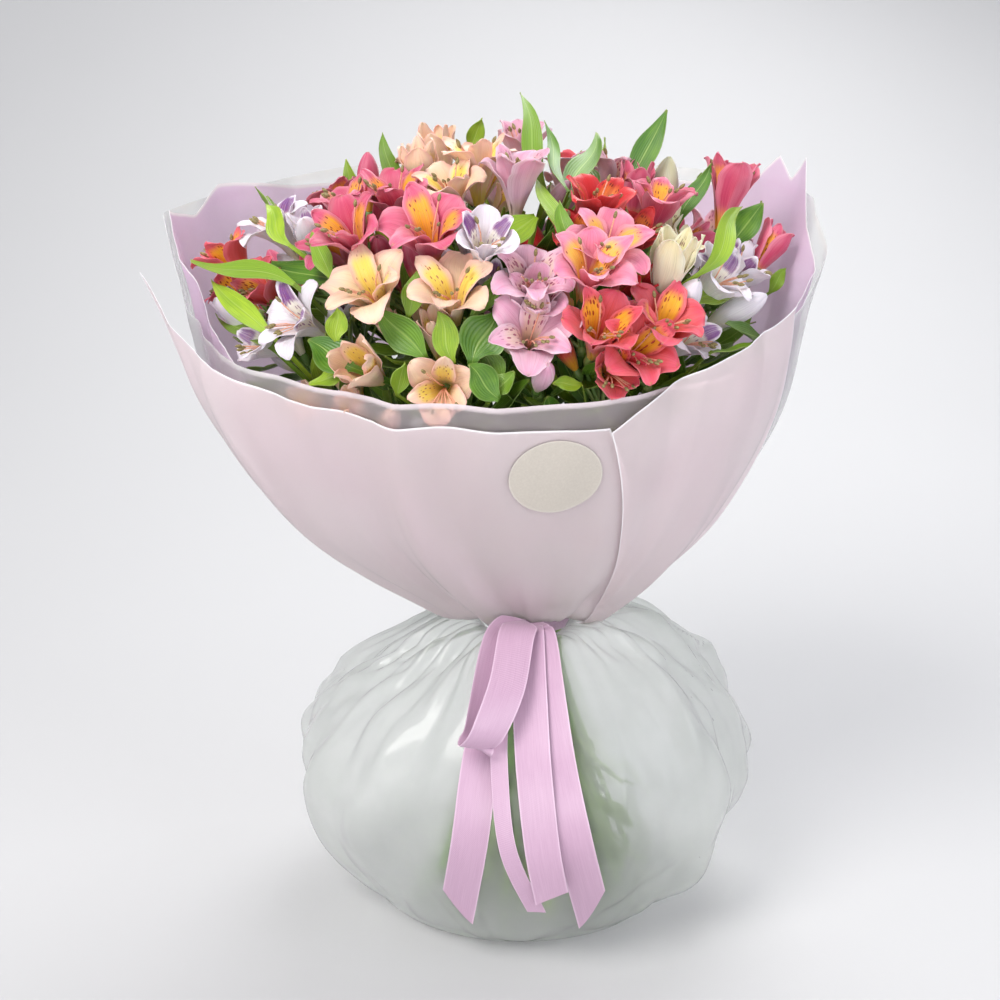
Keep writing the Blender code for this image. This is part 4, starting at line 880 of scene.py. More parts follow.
def lap(x):  # a fold that rises gently and drops steeply, 1 at 0
    return tent(np.where(x > 0, x / 0.5, x))


def makeCreases(seed, count, across, down, long, wide, high, steep):
    # Random creases in a film: each a straight ridge that tapers to its ends, in mm across and down the film
    draw = random.Random(seed)
    made = []
    for _ in range(count):
        lean = math.radians(draw.uniform(-steep, steep))
        made.append((draw.uniform(*across), draw.uniform(*down), math.sin(lean), math.cos(lean),
                     draw.uniform(*long), draw.uniform(*wide), draw.uniform(*high) * draw.choice((-1, 1, 1))))
    return made


def creaseHeight(creases, across, down):
    height = np.zeros(np.broadcast(across, down).shape)
    for x, y, s, c, long, wide, high in creases:
        dx, dy = across - x, down - y
        height += high * tent((dx * c - dy * s) / wide) * ease(1.3 * tent((dx * s + dy * c) / long))
    return height


bag = {"columns": 380, "rows": 92, "tuck": 9, "leftDrop": 14, "rightRise": 4, "mostAtTails": 2.2,
       "pleats": ((21, 1.5), (34, 1.0), (55, 0.6))}
collar = {"columns": 300, "rows": 50, "closed": 4.2, "pleats": ((34, 0.45), (55, 0.3))}
# The bag's long straight folds: mm across for each mm down, where it starts and ends, where it is across,
# its width and its height
bigFolds = [(0.30, 30, 230, 62, 13, 3.4), (0.62, 25, 250, 78, 16, -3.6), (0.9, 25, 240, 100, 15, 4.2),
            (1.1, 20, 200, 120, 14, -3.2), (1.25, 20, 190, 150, 16, 3.8), (0.1, 60, 280, 120, 20, 4.4),
            (-0.35, 30, 220, -60, 14, 3.6), (-0.7, 25, 250, -85, 16, -3.4), (-1.0, 20, 230, -108, 15, 4.0),
            (-1.2, 20, 200, -140, 14, -3.0), (-0.15, 70, 280, -150, 22, 4.6), (0.05, 60, 260, 48, 16, 2.6)]
# Across is mm round the bag from its front, down is mm down from the neck
pleats = makeCreases(7, 110, (-470, 470), (10, 100), (45, 130), (5, 9), (0.8, 2.1), 9)
crumples = makeCreases(12, 80, (-470, 470), (60, 300), (50, 150), (12, 30), (1.2, 3.2), 50)
rightCrumples = makeCreases(5, 40, (60, 280), (50, 260), (35, 90), (10, 22), (1.2, 3.0), 60)
collarCreases = makeCreases(31, 60, (-560, 560), (30, 330), (60, 170), (9, 24), (0.6, 2.0), 24)


def smallPleats(angle, rows):  # each row is a count round the film and a height in mm
    height = 0.0
    for count, deep in rows:
        height = height + deep * (2 * tent(2 * ((count * angle / 360) % 1 - 0.5)) - 1)
    return height


def besideKnot(angle):  # how hard the bag and the collar press together, less in front, where the ribbon is
    return 1 - 0.5 * np.maximum(0, np.cos(np.radians(angle))) ** 2


def bagRelief(angle, t):  # mm of film standing out of the bag's plain shape
    down = np.interp(t, bagSteps, bagRuns)
    across = np.radians(angle) * 150
    gather = smallPleats(angle + 6 * np.sin(np.radians(angle * 3)), bag["pleats"])
    near = np.exp(-((t - 11.5) / 2.6) ** 2) * ease((14.2 - t) / 1.2)
    relief = folds["depth"] / mm * foldShare(angle) * shoulder(t) * 0.8 + gather * near
    relief = relief + creaseHeight(pleats, across, down) * ease((14 - t) / 2)
    free = ease((t - 2.2) / 1.5)
    for side, down0, down1, across0, wide, high in bigFolds:
        lean = across0 + (down - down0) * side
        run = ease((down - down0) / 30) * ease((down1 - down) / 40)
        relief = relief + high * tent((across - lean) / wide) * run
    waist = np.abs(np.sin(np.radians(angle))) ** 3
    relief = relief - bag["tuck"] * np.exp(-((t - 4.1) / 1.5) ** 2) * waist
    relief = relief + collar["closed"] * besideKnot(angle) * np.exp(-((t - 12.2) / 0.9) ** 2)
    top = np.exp(-((t - 9.6) / 2.0) ** 2)
    relief = relief - bag["leftDrop"] * top * ease(np.maximum(0, np.cos(np.radians(angle + 92))) * 1.3)
    relief = relief + bag["rightRise"] * top * np.maximum(0, np.cos(np.radians(angle - 80))) ** 2
    crumpled = creaseHeight(crumples, across, down) + creaseHeight(rightCrumples, across, down)
    relief = relief + crumpled * free
    hanging = np.exp(-(np.abs(angle) / 38) ** 4) * ease((t - 3) / 2)
    return mix(relief, np.minimum(relief, bag["mostAtTails"]), hanging) * ease(t / 2.0)


# The collar's long soft pleats: the angle at the foot and at the rim, half width in degrees, height in mm
collarFolds = [(-64, -50, 15, 5.4), (-38, -26, 10, -5.0), (-24, -15, 8, 4.4), (-6, -12, 9, -3.4),
               (34, 31, 9, -4.4), (54, 43, 11, 5.4), (74, 62, 10, -5.0), (96, 84, 11, 5.6),
               (-86, -74, 11, -5.2), (-108, -98, 12, 5.4), (-135, -128, 13, -5), (128, 118, 12, -5),
               (156, 150, 12, 5), (-165, -160, 11, 5)]


def collarRelief(angle, t):  # the same for all the collar's layers, so that they stay in order
    pleated = 0.0
    for foot, rim, wide, high in collarFolds:
        pleated = pleated + high * lap(math.copysign(1, foot) * (angle - mix(foot, rim, t / 9)) / wide)
    across, down = np.radians(angle) * 180, t * 32
    waves = 0.9 * np.sin(np.radians(angle * 13) + 1.1) + 0.6 * np.sin(np.radians(angle * 23) + 0.4 * t)
    near = np.exp(-((t - 1.0) / 2.2) ** 2)
    gather = smallPleats(angle, collar["pleats"])
    relief = waves * ease((t - 1) / 5) * 0.4 + gather * near + pleated * ease(t / 3)
    relief = relief + collar["closed"] * besideKnot(angle) * np.exp(-((t - 1.7) / 0.9) ** 2)
    return relief + creaseHeight(collarCreases, across, down) * ease(t / 3)


def makeFilm():
    lower, upper = newPiece(), newPiece()
    angle = np.linspace(-180, 180, bag["columns"], endpoint=False)[None, :]
    t = np.concatenate([[0.35, 0.9], np.linspace(1.5, 13.9, bag["rows"])])[:, None]
    grid = bagPoint(angle, t, bagRelief(angle, t) * mm)
    grid[..., 2] = np.maximum(grid[..., 2], 0.2 * mm)
    addSheet(lower, grid, wrap["film"], "film", 0.5, t[:, 0] / 28, closed=True)
    angle = np.linspace(-180, 180, collar["columns"], endpoint=False)[None, :]
    up = np.linspace(0, 1, collar["rows"])
    t = up[:, None] * collarStep(rimHeight(filmRim, angle))
    grid = collarPoint(angle, t, collarRelief(angle, t) * mm)
    addSheet(upper, grid, wrap["film"], "film", 0.5, 0.5 + 0.5 * up, closed=True)
    return lower, upper


# Each sheet's own fine creases: how many, where across and down, their length, width and height in mm, and
# the most that they lean in degrees
paper = {"columns": 104, "rows": 58, "inset": 0.4 * mm,
         "creases": (16, (-560, 560), (20, 330), (50, 150), (3, 8), (0.2, 0.5), 30)}


def layerStand(layer, t):
    stand = layer * mix(wrap["atNeck"], wrap["atRim"], np.minimum(t / 8, 1))
    return stand - paper["inset"] if layer < 0 else stand


def paperGrid(plan, extra=0.0):
    u = np.linspace(0, 1, paper["columns"])[None, :]
    top = collarStep(rimHeight(plan["rim"], mix(*plan["top"], u)))
    t = mix(plan["start"], top, np.linspace(0, 1, paper["rows"])[:, None])
    up = t / top
    corner = plan["flare"] * mm * np.maximum(0, 1 - u * 3.4) * up ** 3
    angle = mix(mix(*plan["foot"], u), mix(*plan["top"], u), up)
    stand = layerStand(plan["layer"], t) + corner + (collarRelief(angle, t) + extra) * mm
    return collarPoint(angle, t, stand), angle, t


def makePaper(plan, seed):
    piece = newPiece()
    _, angle, t = paperGrid(plan)
    creases = makeCreases(seed, *paper["creases"])
    extra = creaseHeight(creases, np.radians(angle) * 180, t * 32) * ease(t / 4)
    grid, _, _ = paperGrid(plan, np.clip(extra, -0.5, 0.5))
    addSheet(piece, grid, wrap["sheet"], "paper", 0.0 if plan["layer"] > 0 else 1.0)
    return piece, grid


# The knot is the wrap in front: points in the frame in mm, and the radius at each
ribbon = {"width": 22 * mm, "thick": 0.5 * mm, "cup": 0.05, "ripple": 0.5 * mm, "gather": 16, "rows": 70,
          "columns": 11, "band": 28.1 * mm, "bandHeight": 190.6, "bandHalf": 5.2, "bandThick": 0.6 * mm}
knotLine = [(0, -29, 190), (0, -38, 190), (0, -46, 190.5), (0, -54, 191.5), (0, -61, 191.5), (0, -65, 190.5)]
knotRadii = [2.4, 3.4, 4.2, 4.6, 3.6, 1.6]


def downBag(right, down, out):
    # mm to the right over the front of the bag, mm down it from the neck, and mm out from it
    t = float(np.interp(-down, -bagRuns, bagSteps))
    radius = max(float(np.interp(t, bagSteps, bagPath[:, 0])), 30)
    stand = out * mm + folds["depth"] * float(shoulder(np.array(t)))
    return bagPoint(math.degrees(right / radius), np.array(t), stand)


def addStrand(piece, share, slant, line, draw):
    # The slant is how much shorter the cut makes the right side, in mm. A strand without one goes back to the
    # knot.
    places = np.array([downBag(*spot[:3]) for spot in line])
    turned = np.array([spot[3] if len(spot) > 3 else (1, 0, 0) for spot in line], float)
    freeEnd = slant is not None
    half = ribbon["width"] * share / 2
    u = np.linspace(-1, 1, ribbon["columns"])[None, :]
    length = np.linalg.norm(np.diff(places, axis=0), axis=1).sum()
    cut = 0.0 * u if not freeEnd else abs(slant) * mm / length * (1 + np.sign(slant) * u) / 2
    v = np.linspace(0, 1, ribbon["rows"])
    s = v[:, None] * (1 - cut)
    middle = along(places, s * (len(places) - 1))
    centre = s[:, ribbon["columns"] // 2] * (len(places) - 1)
    way = unit(np.gradient(along(places, centre), axis=0))
    wished = along(turned, centre)
    side = unit(wished - way * (wished * way).sum(axis=1, keepdims=True))
    out = np.cross(side, way)
    cup = ribbon["cup"] * half * (1 - u ** 2) + ribbon["ripple"] * np.sin(9 * s + draw.uniform(0, 6)) * u
    tip = ribbon["gather"] * mm / length
    narrow = np.minimum(1, 0.06 + s / tip) * (1 if freeEnd else np.minimum(1, 0.06 + (1 - s) / tip))
    grid = middle + side[:, None] * (half * u * narrow)[..., None] + out[:, None] * cup[..., None]
    addSheet(piece, grid, ribbon["thick"], "ribbon", draw.random(), v)
    return length


def addKnot(piece, draw):  # the band round the neck and the wrap in front that the strands come out of
    angle = np.linspace(-180, 180, 120, endpoint=False)[None, :]
    up = np.linspace(-1, 1, 9)[:, None]
    r = ribbon["band"] + (0.35 * np.sin(np.radians(angle * 9) + 2.5 * up) + 1.4 * (1 - up ** 2)) * mm
    turn = np.radians(angle)
    height = (ribbon["bandHeight"] + ribbon["bandHalf"] * up + 0.4 * np.sin(turn * 5)) * mm
    grid = np.stack(np.broadcast_arrays(r * np.sin(turn), -r * np.cos(turn), height), axis=-1)
    addSheet(piece, grid, ribbon["bandThick"], "ribbon", 0.4, closed=True)
    addTube(piece, np.array(knotLine) * mm, np.array(knotRadii) * mm, "ribbon", 16, 0.6, ribs=0.12, twist=0.3,
            flat=0.6)


# The blank label on the front sheet: its middle's angle and height in mm
label = {"angle": 10.7, "height": 317, "radius": 26.5 * mm, "thick": 0.16 * mm, "stand": 1.15 * mm}


def makeLabel():
    piece = newPiece()
    stand = wrap["atRim"] + label["stand"]
    r = np.linspace(0.001, 1, 14)[:, None] * label["radius"]
    turn = np.linspace(0, math.tau, 72, endpoint=False)[None, :]
    right, up = r * np.cos(turn), r * np.sin(turn)
    step = collarStep(label["height"] + up * 0.84 / mm)
    out = outlinePoint(collarOutline, step, 0)[0]
    where = label["angle"] + np.degrees(right / out)
    grid = collarPoint(where, step, stand + collarRelief(where, step) * mm)
    addSheet(piece, grid[::-1], label["thick"], "label", closed=True)
    return piece


twine = {"turns": 3, "steps": 150, "radius": 24.2 * mm, "thick": 0.62 * mm, "from": 186.7, "rise": 2.6}


def makeTwine():
    piece = newPiece()
    turn = np.linspace(0, twine["turns"] * math.tau, twine["steps"])
    height = (twine["from"] + twine["rise"] * turn / turn[-1]) * mm
    line = np.stack([twine["radius"] * np.sin(turn), -twine["radius"] * np.cos(turn), height], axis=-1)
    addTube(piece, line, twine["thick"], "twine", 10, 0.5, ribs=0.22, twist=0.9)
    return piece


# Materials, whose patterns follow each piece's own spots: u across it, v along it, and a tone of its own

def newMaterial(name):
    material = bpy.data.materials.new(name)
    material.use_nodes = True
    return material, material.node_tree, material.node_tree.nodes["Principled BSDF"]


def feed(tree, socket, value):  # from another node's output, or with a value of its own
    if isinstance(value, bpy.types.NodeSocket):
        tree.links.new(value, socket)
    elif socket.type == "RGBA":
        socket.default_value = (*value, 1)
    else:
        socket.default_value = value


def node(tree, kind, inputs, out=0, **settings):
    made = tree.nodes.new("ShaderNode" + kind)
    for key, value in settings.items():
        setattr(made, key, value)
    for key, value in inputs.items():
        feed(tree, made.inputs[key], value)
    return made.outputs[out]


def partsOf(tree, place):
    parts = tree.nodes.new("ShaderNodeSeparateXYZ")
    tree.links.new(place, parts.inputs[0])
    return parts.outputs


def spotParts(tree):
    return partsOf(tree, node(tree, "Attribute", {}, "Vector", attribute_name="spot"))


def maths(tree, operation, a, b=0.0):
    return node(tree, "Math", {0: a, 1: b}, operation=operation)


def times(tree, a, b):
    return maths(tree, "MULTIPLY", a, b)


def rise(tree, value, low, high):  # smoothly from 0 at low to 1 at high
    inputs = {"Value": value, "From Min": low, "From Max": high}
    return node(tree, "MapRange", inputs, interpolation_type="SMOOTHSTEP")


def blend(tree, share, a, b):
    return node(tree, "Mix", {0: share, 6: a, 7: b}, 2, data_type="RGBA")


def laidOver(tree, body, colour, share, value, low, high):  # a share of a colour, where a value rises
    return blend(tree, times(tree, rise(tree, value, low, high), share), body, colour)


def noiseAt(tree, where, scale, detail=2.0, rough=0.5):
    inputs = {"Vector": where, "Scale": scale, "Detail": detail, "Roughness": rough}
    return node(tree, "TexNoise", inputs)


def stretched(tree, u, v, tone, across, down):
    inputs = {0: times(tree, u, across), 1: times(tree, v, down), 2: times(tree, tone, 37.0)}
    return node(tree, "CombineXYZ", inputs)


def bumpFrom(tree, shader, height, strength, distance):
    made = node(tree, "Bump", {"Height": height, "Strength": strength, "Distance": distance})
    tree.links.new(made, shader.inputs["Normal"])


def setShader(tree, shader, **values):
    for key, value in values.items():
        feed(tree, shader.inputs[key.replace("_", " ")], value)


# Each variety: the colours of a tepal's body, tip and edge, of the throat and of the marks
varieties = {
    "rose": dict(body=(0.60, 0.045, 0.12), tip=(0.64, 0.085, 0.19),
                 edge=(0.80, 0.28, 0.37), throat=(1.0, 0.46, 0.02),
                 mark=(0.20, 0.006, 0.02), marks=0.45, blotch=0.0, glow=1.0),
    "flame": dict(body=(0.80, 0.065, 0.025), tip=(0.76, 0.085, 0.16),
                  edge=(0.86, 0.20, 0.26), throat=(1.0, 0.55, 0.02),
                  mark=(0.30, 0.008, 0.008), marks=0.6, blotch=0.0, glow=0.95),
    "scarlet": dict(body=(0.52, 0.008, 0.010), tip=(0.60, 0.014, 0.02),
                    edge=(0.70, 0.05, 0.06), throat=(0.86, 0.30, 0.02),
                    mark=(0.12, 0.002, 0.006), marks=0.5, blotch=0.0, glow=0.6),
    "peach": dict(body=(0.93, 0.71, 0.42), tip=(0.94, 0.64, 0.48),
                  edge=(0.92, 0.50, 0.46), throat=(0.98, 0.74, 0.10),
                  mark=(0.35, 0.06, 0.02), marks=0.42, blotch=0.0, glow=1.0),
    "blush": dict(body=(0.78, 0.44, 0.56), tip=(0.78, 0.32, 0.50),
                  edge=(0.90, 0.66, 0.74), throat=(0.88, 0.70, 0.46),
                  mark=(0.30, 0.015, 0.09), marks=0.66, blotch=0.0, glow=0.6),
    "plum": dict(body=(0.90, 0.86, 0.88), tip=(0.86, 0.76, 0.86),
                 edge=(0.88, 0.78, 0.88), throat=(0.88, 0.84, 0.56),
                 mark=(0.20, 0.03, 0.16), marks=0.55, blotch=1.0, glow=0.5),
    "salmon": dict(body=(0.82, 0.20, 0.27), tip=(0.80, 0.20, 0.36),
                   edge=(0.90, 0.40, 0.48), throat=(1.0, 0.54, 0.05),
                   mark=(0.35, 0.01, 0.015), marks=0.4, blotch=0.0, glow=1.0),
    "cream": dict(body=(0.86, 0.78, 0.58), tip=(0.78, 0.70, 0.40),
                  edge=(0.88, 0.84, 0.70), throat=(0.76, 0.72, 0.22),
                  mark=(0.16, 0.05, 0.07), marks=0.55, blotch=0.0, glow=0.5),
}
purple = (0.16, 0.02, 0.22)
tepalGreen = (0.30, 0.42, 0.12)


def petalMaterial(name, look, inner):
    material, tree, shader = newMaterial(name)
    u, v, tone = spotParts(tree)
    side = maths(tree, "ABSOLUTE", u)
    body = blend(tree, rise(tree, v, 0.35, 0.95), look["body"], look["tip"])
    veins = noiseAt(tree, stretched(tree, u, v, tone, 13.0, 1.6), 1.0, 3.0, 0.6)
    patches = noiseAt(tree, stretched(tree, u, v, tone, 1.6, 2.2), 1.0, 1.0)
    body = laidOver(tree, body, look["edge"], 0.4, patches, 0.35, 0.75)
    body = laidOver(tree, body, look["edge"], 0.75, side, 0.55, 1.0)
    foot = rise(tree, maths(tree, "ADD", v, times(tree, veins, 0.12)), 0.52 if inner else 0.40,
                0.34 if inner else 0.16)
    foot = times(tree, foot, 0.92)
    body = blend(tree, foot, body, look["throat"])
    if inner:  # a paler or yellow middle, streaked with short dark dashes
        glow = rise(tree, maths(tree, "ADD", v, times(tree, veins, 0.14)), 0.90, 0.72)
        glow = times(tree, glow, rise(tree, side, 0.92, 0.45))
        body = blend(tree, times(tree, glow, look["glow"]), body, look["throat"])
        if look["blotch"]:
            ragged = maths(tree, "ADD", v, times(tree, veins, 0.16))
            dark = times(tree, rise(tree, ragged, 0.62, 0.70), rise(tree, ragged, 1.02, 0.92))
            dark = times(tree, dark, rise(tree, side, 0.9, 0.66))
            body = blend(tree, times(tree, dark, look["blotch"]), body, purple)
        dash = node(tree, "TexVoronoi", {"Vector": stretched(tree, u, v, tone, 4.2, 9.0), "Scale": 1.0,
                                         "Randomness": 0.75})
        band = times(tree, rise(tree, v, 0.26, 0.40), rise(tree, v, 0.90, 0.74))
        band = times(tree, band, rise(tree, side, 0.98, 0.7))
        dash = times(tree, rise(tree, dash, look["marks"] * 0.62, look["marks"] * 0.45), band)
        body = blend(tree, times(tree, dash, 0.92), body, look["mark"])
    else:  # a green tip to the keel
        keel = times(tree, rise(tree, v, 0.90, 1.0), rise(tree, side, 0.5, 0.1))
        body = blend(tree, times(tree, keel, 0.55), body, tepalGreen)
    deep = laidOver(tree, body, look["body"], 0.30, veins, 0.46, 0.66)
    fine = noiseAt(tree, stretched(tree, u, v, tone, 34.0, 1.2), 1.0, 2.0, 0.6)
    deep = laidOver(tree, deep, look["mark"], 0.20, fine, 0.52, 0.66)
    deep = laidOver(tree, deep, look["edge"], 0.22, fine, 0.46, 0.34)
    deep = blend(tree, times(tree, maths(tree, "SUBTRACT", 1.0, tone), 0.22), deep,
                 tuple(c * 0.55 for c in look["body"]))
    setShader(tree, shader, Base_Color=deep, Roughness=0.5, Subsurface_Weight=0.15, Subsurface_Scale=0.003,
              Sheen_Weight=0.15, Specular_IOR_Level=0.35)
    shader.inputs["Subsurface Radius"].default_value = (1.0, 0.5, 0.4)
    bumpFrom(tree, shader, veins, 0.35, 0.0006)
    return material


leafColours = {"dark": (0.055, 0.17, 0.014), "light": (0.36, 0.52, 0.025), "patch": (0.17, 0.34, 0.02),
               "line": (0.32, 0.48, 0.09), "vein": (0.03, 0.10, 0.02), "rib": (0.42, 0.56, 0.15),
               "edge": (0.38, 0.48, 0.18), "tip": (0.42, 0.40, 0.10)}


def leafMaterial():
    look = leafColours
    material, tree, shader = newMaterial("leaf_green")
    u, v, tone = spotParts(tree)
    side = maths(tree, "ABSOLUTE", u)
    lines = maths(tree, "SINE", times(tree, u, 34.0))
    veins = noiseAt(tree, stretched(tree, u, v, tone, 16.0, 1.0), 1.0, 2.0, 0.6)
    patches = noiseAt(tree, stretched(tree, u, v, tone, 1.4, 3.0), 1.0, 2.0)
    body = blend(tree, rise(tree, tone, 0.15, 0.95), look["dark"], look["light"])
    body = laidOver(tree, body, look["patch"], 0.45, patches, 0.35, 0.7)
    body = laidOver(tree, body, look["line"], 0.12, lines, -0.2, 1.0)
    body = laidOver(tree, body, look["vein"], 0.25, veins, 0.45, 0.7)
    body = laidOver(tree, body, look["rib"], 0.45, side, 0.09, 0.0)
    body = laidOver(tree, body, look["edge"], 0.35, side, 0.92, 1.0)
    body = laidOver(tree, body, look["tip"], 0.35, v, 0.93, 1.0)
    setShader(tree, shader, Base_Color=body, Roughness=0.42, Specular_IOR_Level=0.5)
    bumpFrom(tree, shader, maths(tree, "ADD", lines, veins), 0.25, 0.0004)
    return material


def plainGreen(name, low, high, rough):  # stalks, flower stalks and ovaries
    material, tree, shader = newMaterial(name)
    u, v, tone = spotParts(tree)
    grain = noiseAt(tree, stretched(tree, u, v, tone, 7.0, 5.0), 1.0, 3.0, 0.6)
    uneven = maths(tree, "ADD", times(tree, grain, 0.6), tone)
    body = blend(tree, rise(tree, uneven, 0.2, 1.3), low, high)
    setShader(tree, shader, Base_Color=body, Roughness=rough)
    bumpFrom(tree, shader, grain, 0.3, 0.0005)
    return material


# How much light goes straight through the film, its front rim and the coloured sheets, and the rim's tint
film = {"clear": 0.54, "rimClear": 0.26, "rim": (0.93, 0.80, 0.86), "paperClear": 0.16,
        "dull": (0.80, 0.825, 0.80), "bright": (0.88, 0.895, 0.88), "rough": 0.26}


def seeThrough(tree, shader, share):  # lets a share of the light straight through
    clear = node(tree, "BsdfTransparent", {})
    both = node(tree, "MixShader", {0: share, 1: shader.outputs[0], 2: clear})
    tree.links.new(both, tree.nodes["Material Output"].inputs["Surface"])


def filmMaterial():
    material, tree, shader = newMaterial("frosted_film")
    u, v, _ = spotParts(tree)
    place = node(tree, "TexCoord", {}, "Object")
    haze = noiseAt(tree, place, 26.0, 3.0, 0.55)
    scratches = noiseAt(tree, stretched(tree, u, v, 0.5, 160.0, 9.0), 1.0, 2.0, 0.6)
    edge = rise(tree, v, 0.9925, 0.998)
    body = blend(tree, rise(tree, haze, 0.35, 0.7), film["dull"], film["bright"])
    _, y, z = partsOf(tree, place)
    front = times(tree, rise(tree, y, -0.06, -0.12), rise(tree, z, 0.24, 0.30))
    body = blend(tree, times(tree, front, 0.8), body, film["rim"])
    clear = times(tree, maths(tree, "SUBTRACT", 1.0, times(tree, edge, 0.8)), 0.80)
    rough = maths(tree, "ADD", times(tree, haze, 0.08), film["rough"])
    setShader(tree, shader, Base_Color=body, Roughness=rough, Transmission_Weight=clear, IOR=1.16,
              Coat_Weight=0.6, Coat_Roughness=0.14, Coat_IOR=1.45)
    bumpFrom(tree, shader, scratches, 0.12, 0.0004)
    duller = times(tree, front, film["clear"] - film["rimClear"])
    seeThrough(tree, shader, maths(tree, "SUBTRACT", film["clear"], duller))
    return material


# The outer sheets are pale and the inner ones lilac, each clouded from one colour to the next; their
# near-white edge colour is a painted highlight
sheetColours = {"pale": ((0.94, 0.82, 0.85), (0.96, 0.86, 0.88)),
                "lilac": ((0.84, 0.66, 0.84), (0.88, 0.72, 0.88)),
                "fibre": (0.94, 0.86, 0.92), "edge": (0.97, 0.94, 0.97), "rough": 0.4}


def paperMaterial():
    look = sheetColours
    material, tree, shader = newMaterial("lilac_sheet")
    place = node(tree, "TexCoord", {}, "Object")
    fibres = noiseAt(tree, place, 420.0, 4.0, 0.7)
    clouds = noiseAt(tree, place, 14.0, 2.0)
    u, v, tone = spotParts(tree)
    pale = blend(tree, rise(tree, clouds, 0.3, 0.7), *look["pale"])
    lilac = blend(tree, rise(tree, clouds, 0.3, 0.7), *look["lilac"])
    body = blend(tree, tone, pale, lilac)
    body = laidOver(tree, body, look["fibre"], 0.18, fibres, 0.4, 0.8)
    # Painted highlight: a near-white, less see-through line along each sheet's side and rim edges, where
    # light catches them
    edge = rise(tree, maths(tree, "ABSOLUTE", u), 0.988, 0.996)
    edge = maths(tree, "MAXIMUM", edge, rise(tree, v, 0.9935, 0.998))
    body = blend(tree, edge, body, look["edge"])
    clear = times(tree, maths(tree, "SUBTRACT", 1.0, times(tree, edge, 0.9)), 0.52)
    setShader(tree, shader, Base_Color=body, Roughness=look["rough"], Transmission_Weight=clear, IOR=1.18,
              Coat_Weight=0.2, Coat_Roughness=0.3)
    bumpFrom(tree, shader, fibres, 0.2, 0.0003)
    seeThrough(tree, shader, film["paperClear"])
    return material


# The satin's darker and lighter colours, and a painted highlight for its edges
satin = {"low": (0.52, 0.325, 0.46), "high": (0.61, 0.41, 0.55), "edge": (0.88, 0.70, 0.84), "rough": 0.32}


def ribbonMaterial():
    material, tree, shader = newMaterial("satin_ribbon")
    u, v, tone = spotParts(tree)
    threads = maths(tree, "SINE", times(tree, v, 1500.0))
    weave = noiseAt(tree, stretched(tree, u, v, tone, 60.0, 14.0), 1.0, 3.0, 0.7)
    # Painted highlight: the ribbon's edges lightened where light catches them
    edge = rise(tree, maths(tree, "ABSOLUTE", u), 0.90, 0.95)
    body = blend(tree, rise(tree, weave, 0.3, 0.75), satin["low"], satin["high"])
    body = blend(tree, times(tree, edge, 0.35), body, satin["edge"])
    setShader(tree, shader, Base_Color=body, Roughness=satin["rough"], Anisotropic=0.6, Sheen_Weight=0.35,
              Sheen_Roughness=0.3, Specular_IOR_Level=0.6)
    bumpFrom(tree, shader, maths(tree, "ADD", threads, weave), 0.12, 0.0002)
    return material


labelColours = {"low": (0.52, 0.475, 0.42), "high": (0.58, 0.535, 0.475), "edge": (0.68, 0.64, 0.59)}


def labelMaterial():
    look = labelColours
    material, tree, shader = newMaterial("blank_label")
    place = node(tree, "TexCoord", {}, "Object")
    fibres = noiseAt(tree, place, 700.0, 4.0, 0.7)
    _, v, _ = spotParts(tree)
    body = blend(tree, rise(tree, fibres, 0.3, 0.8), look["low"], look["high"])
    body = laidOver(tree, body, look["edge"], 0.5, v, 0.05, 0.0)
    setShader(tree, shader, Base_Color=body, Roughness=0.46, Coat_Weight=0.1, Coat_Roughness=0.3)
    bumpFrom(tree, shader, fibres, 0.15, 0.0002)
    return material


def fibreMaterial(name, low, high):  # twine, stamens and anthers
    material, tree, shader = newMaterial(name)
    place = node(tree, "TexCoord", {}, "Object")
    grain = noiseAt(tree, place, 900.0, 3.0, 0.7)
    body = blend(tree, rise(tree, grain, 0.3, 0.7), low, high)
    setShader(tree, shader, Base_Color=body, Roughness=0.7)
    bumpFrom(tree, shader, grain, 0.5, 0.0004)
    return material


# The darker and the lighter colour of each fibre, and of each plain green, with its roughness
fibreColours = {"filament": ((0.70, 0.30, 0.22), (0.84, 0.50, 0.34)),
                "anther": ((0.16, 0.12, 0.05), (0.36, 0.30, 0.12)),
                "twine": ((0.32, 0.24, 0.14), (0.52, 0.42, 0.27))}
greenColours = {"flower_stalk": ((0.10, 0.22, 0.04), (0.26, 0.36, 0.10), 0.45),
                "stalk": ((0.12, 0.26, 0.05), (0.28, 0.42, 0.11), 0.5)}


def makeMaterials():
    made = {"leaf": leafMaterial(), "green": plainGreen("flower_stalk", *greenColours["flower_stalk"]),
            "stalk": plainGreen("stalk", *greenColours["stalk"]), "film": filmMaterial(),
            "paper": paperMaterial(), "ribbon": ribbonMaterial(), "label": labelMaterial()}
    for name, colours in fibreColours.items():
        made[name] = fibreMaterial(name, *colours)
    for name, look in varieties.items():
        made[name + "_outer"] = petalMaterial(name + "_outer_tepals", look, False)
        made[name + "_inner"] = petalMaterial(name + "_inner_tepals", look, True)
    return made


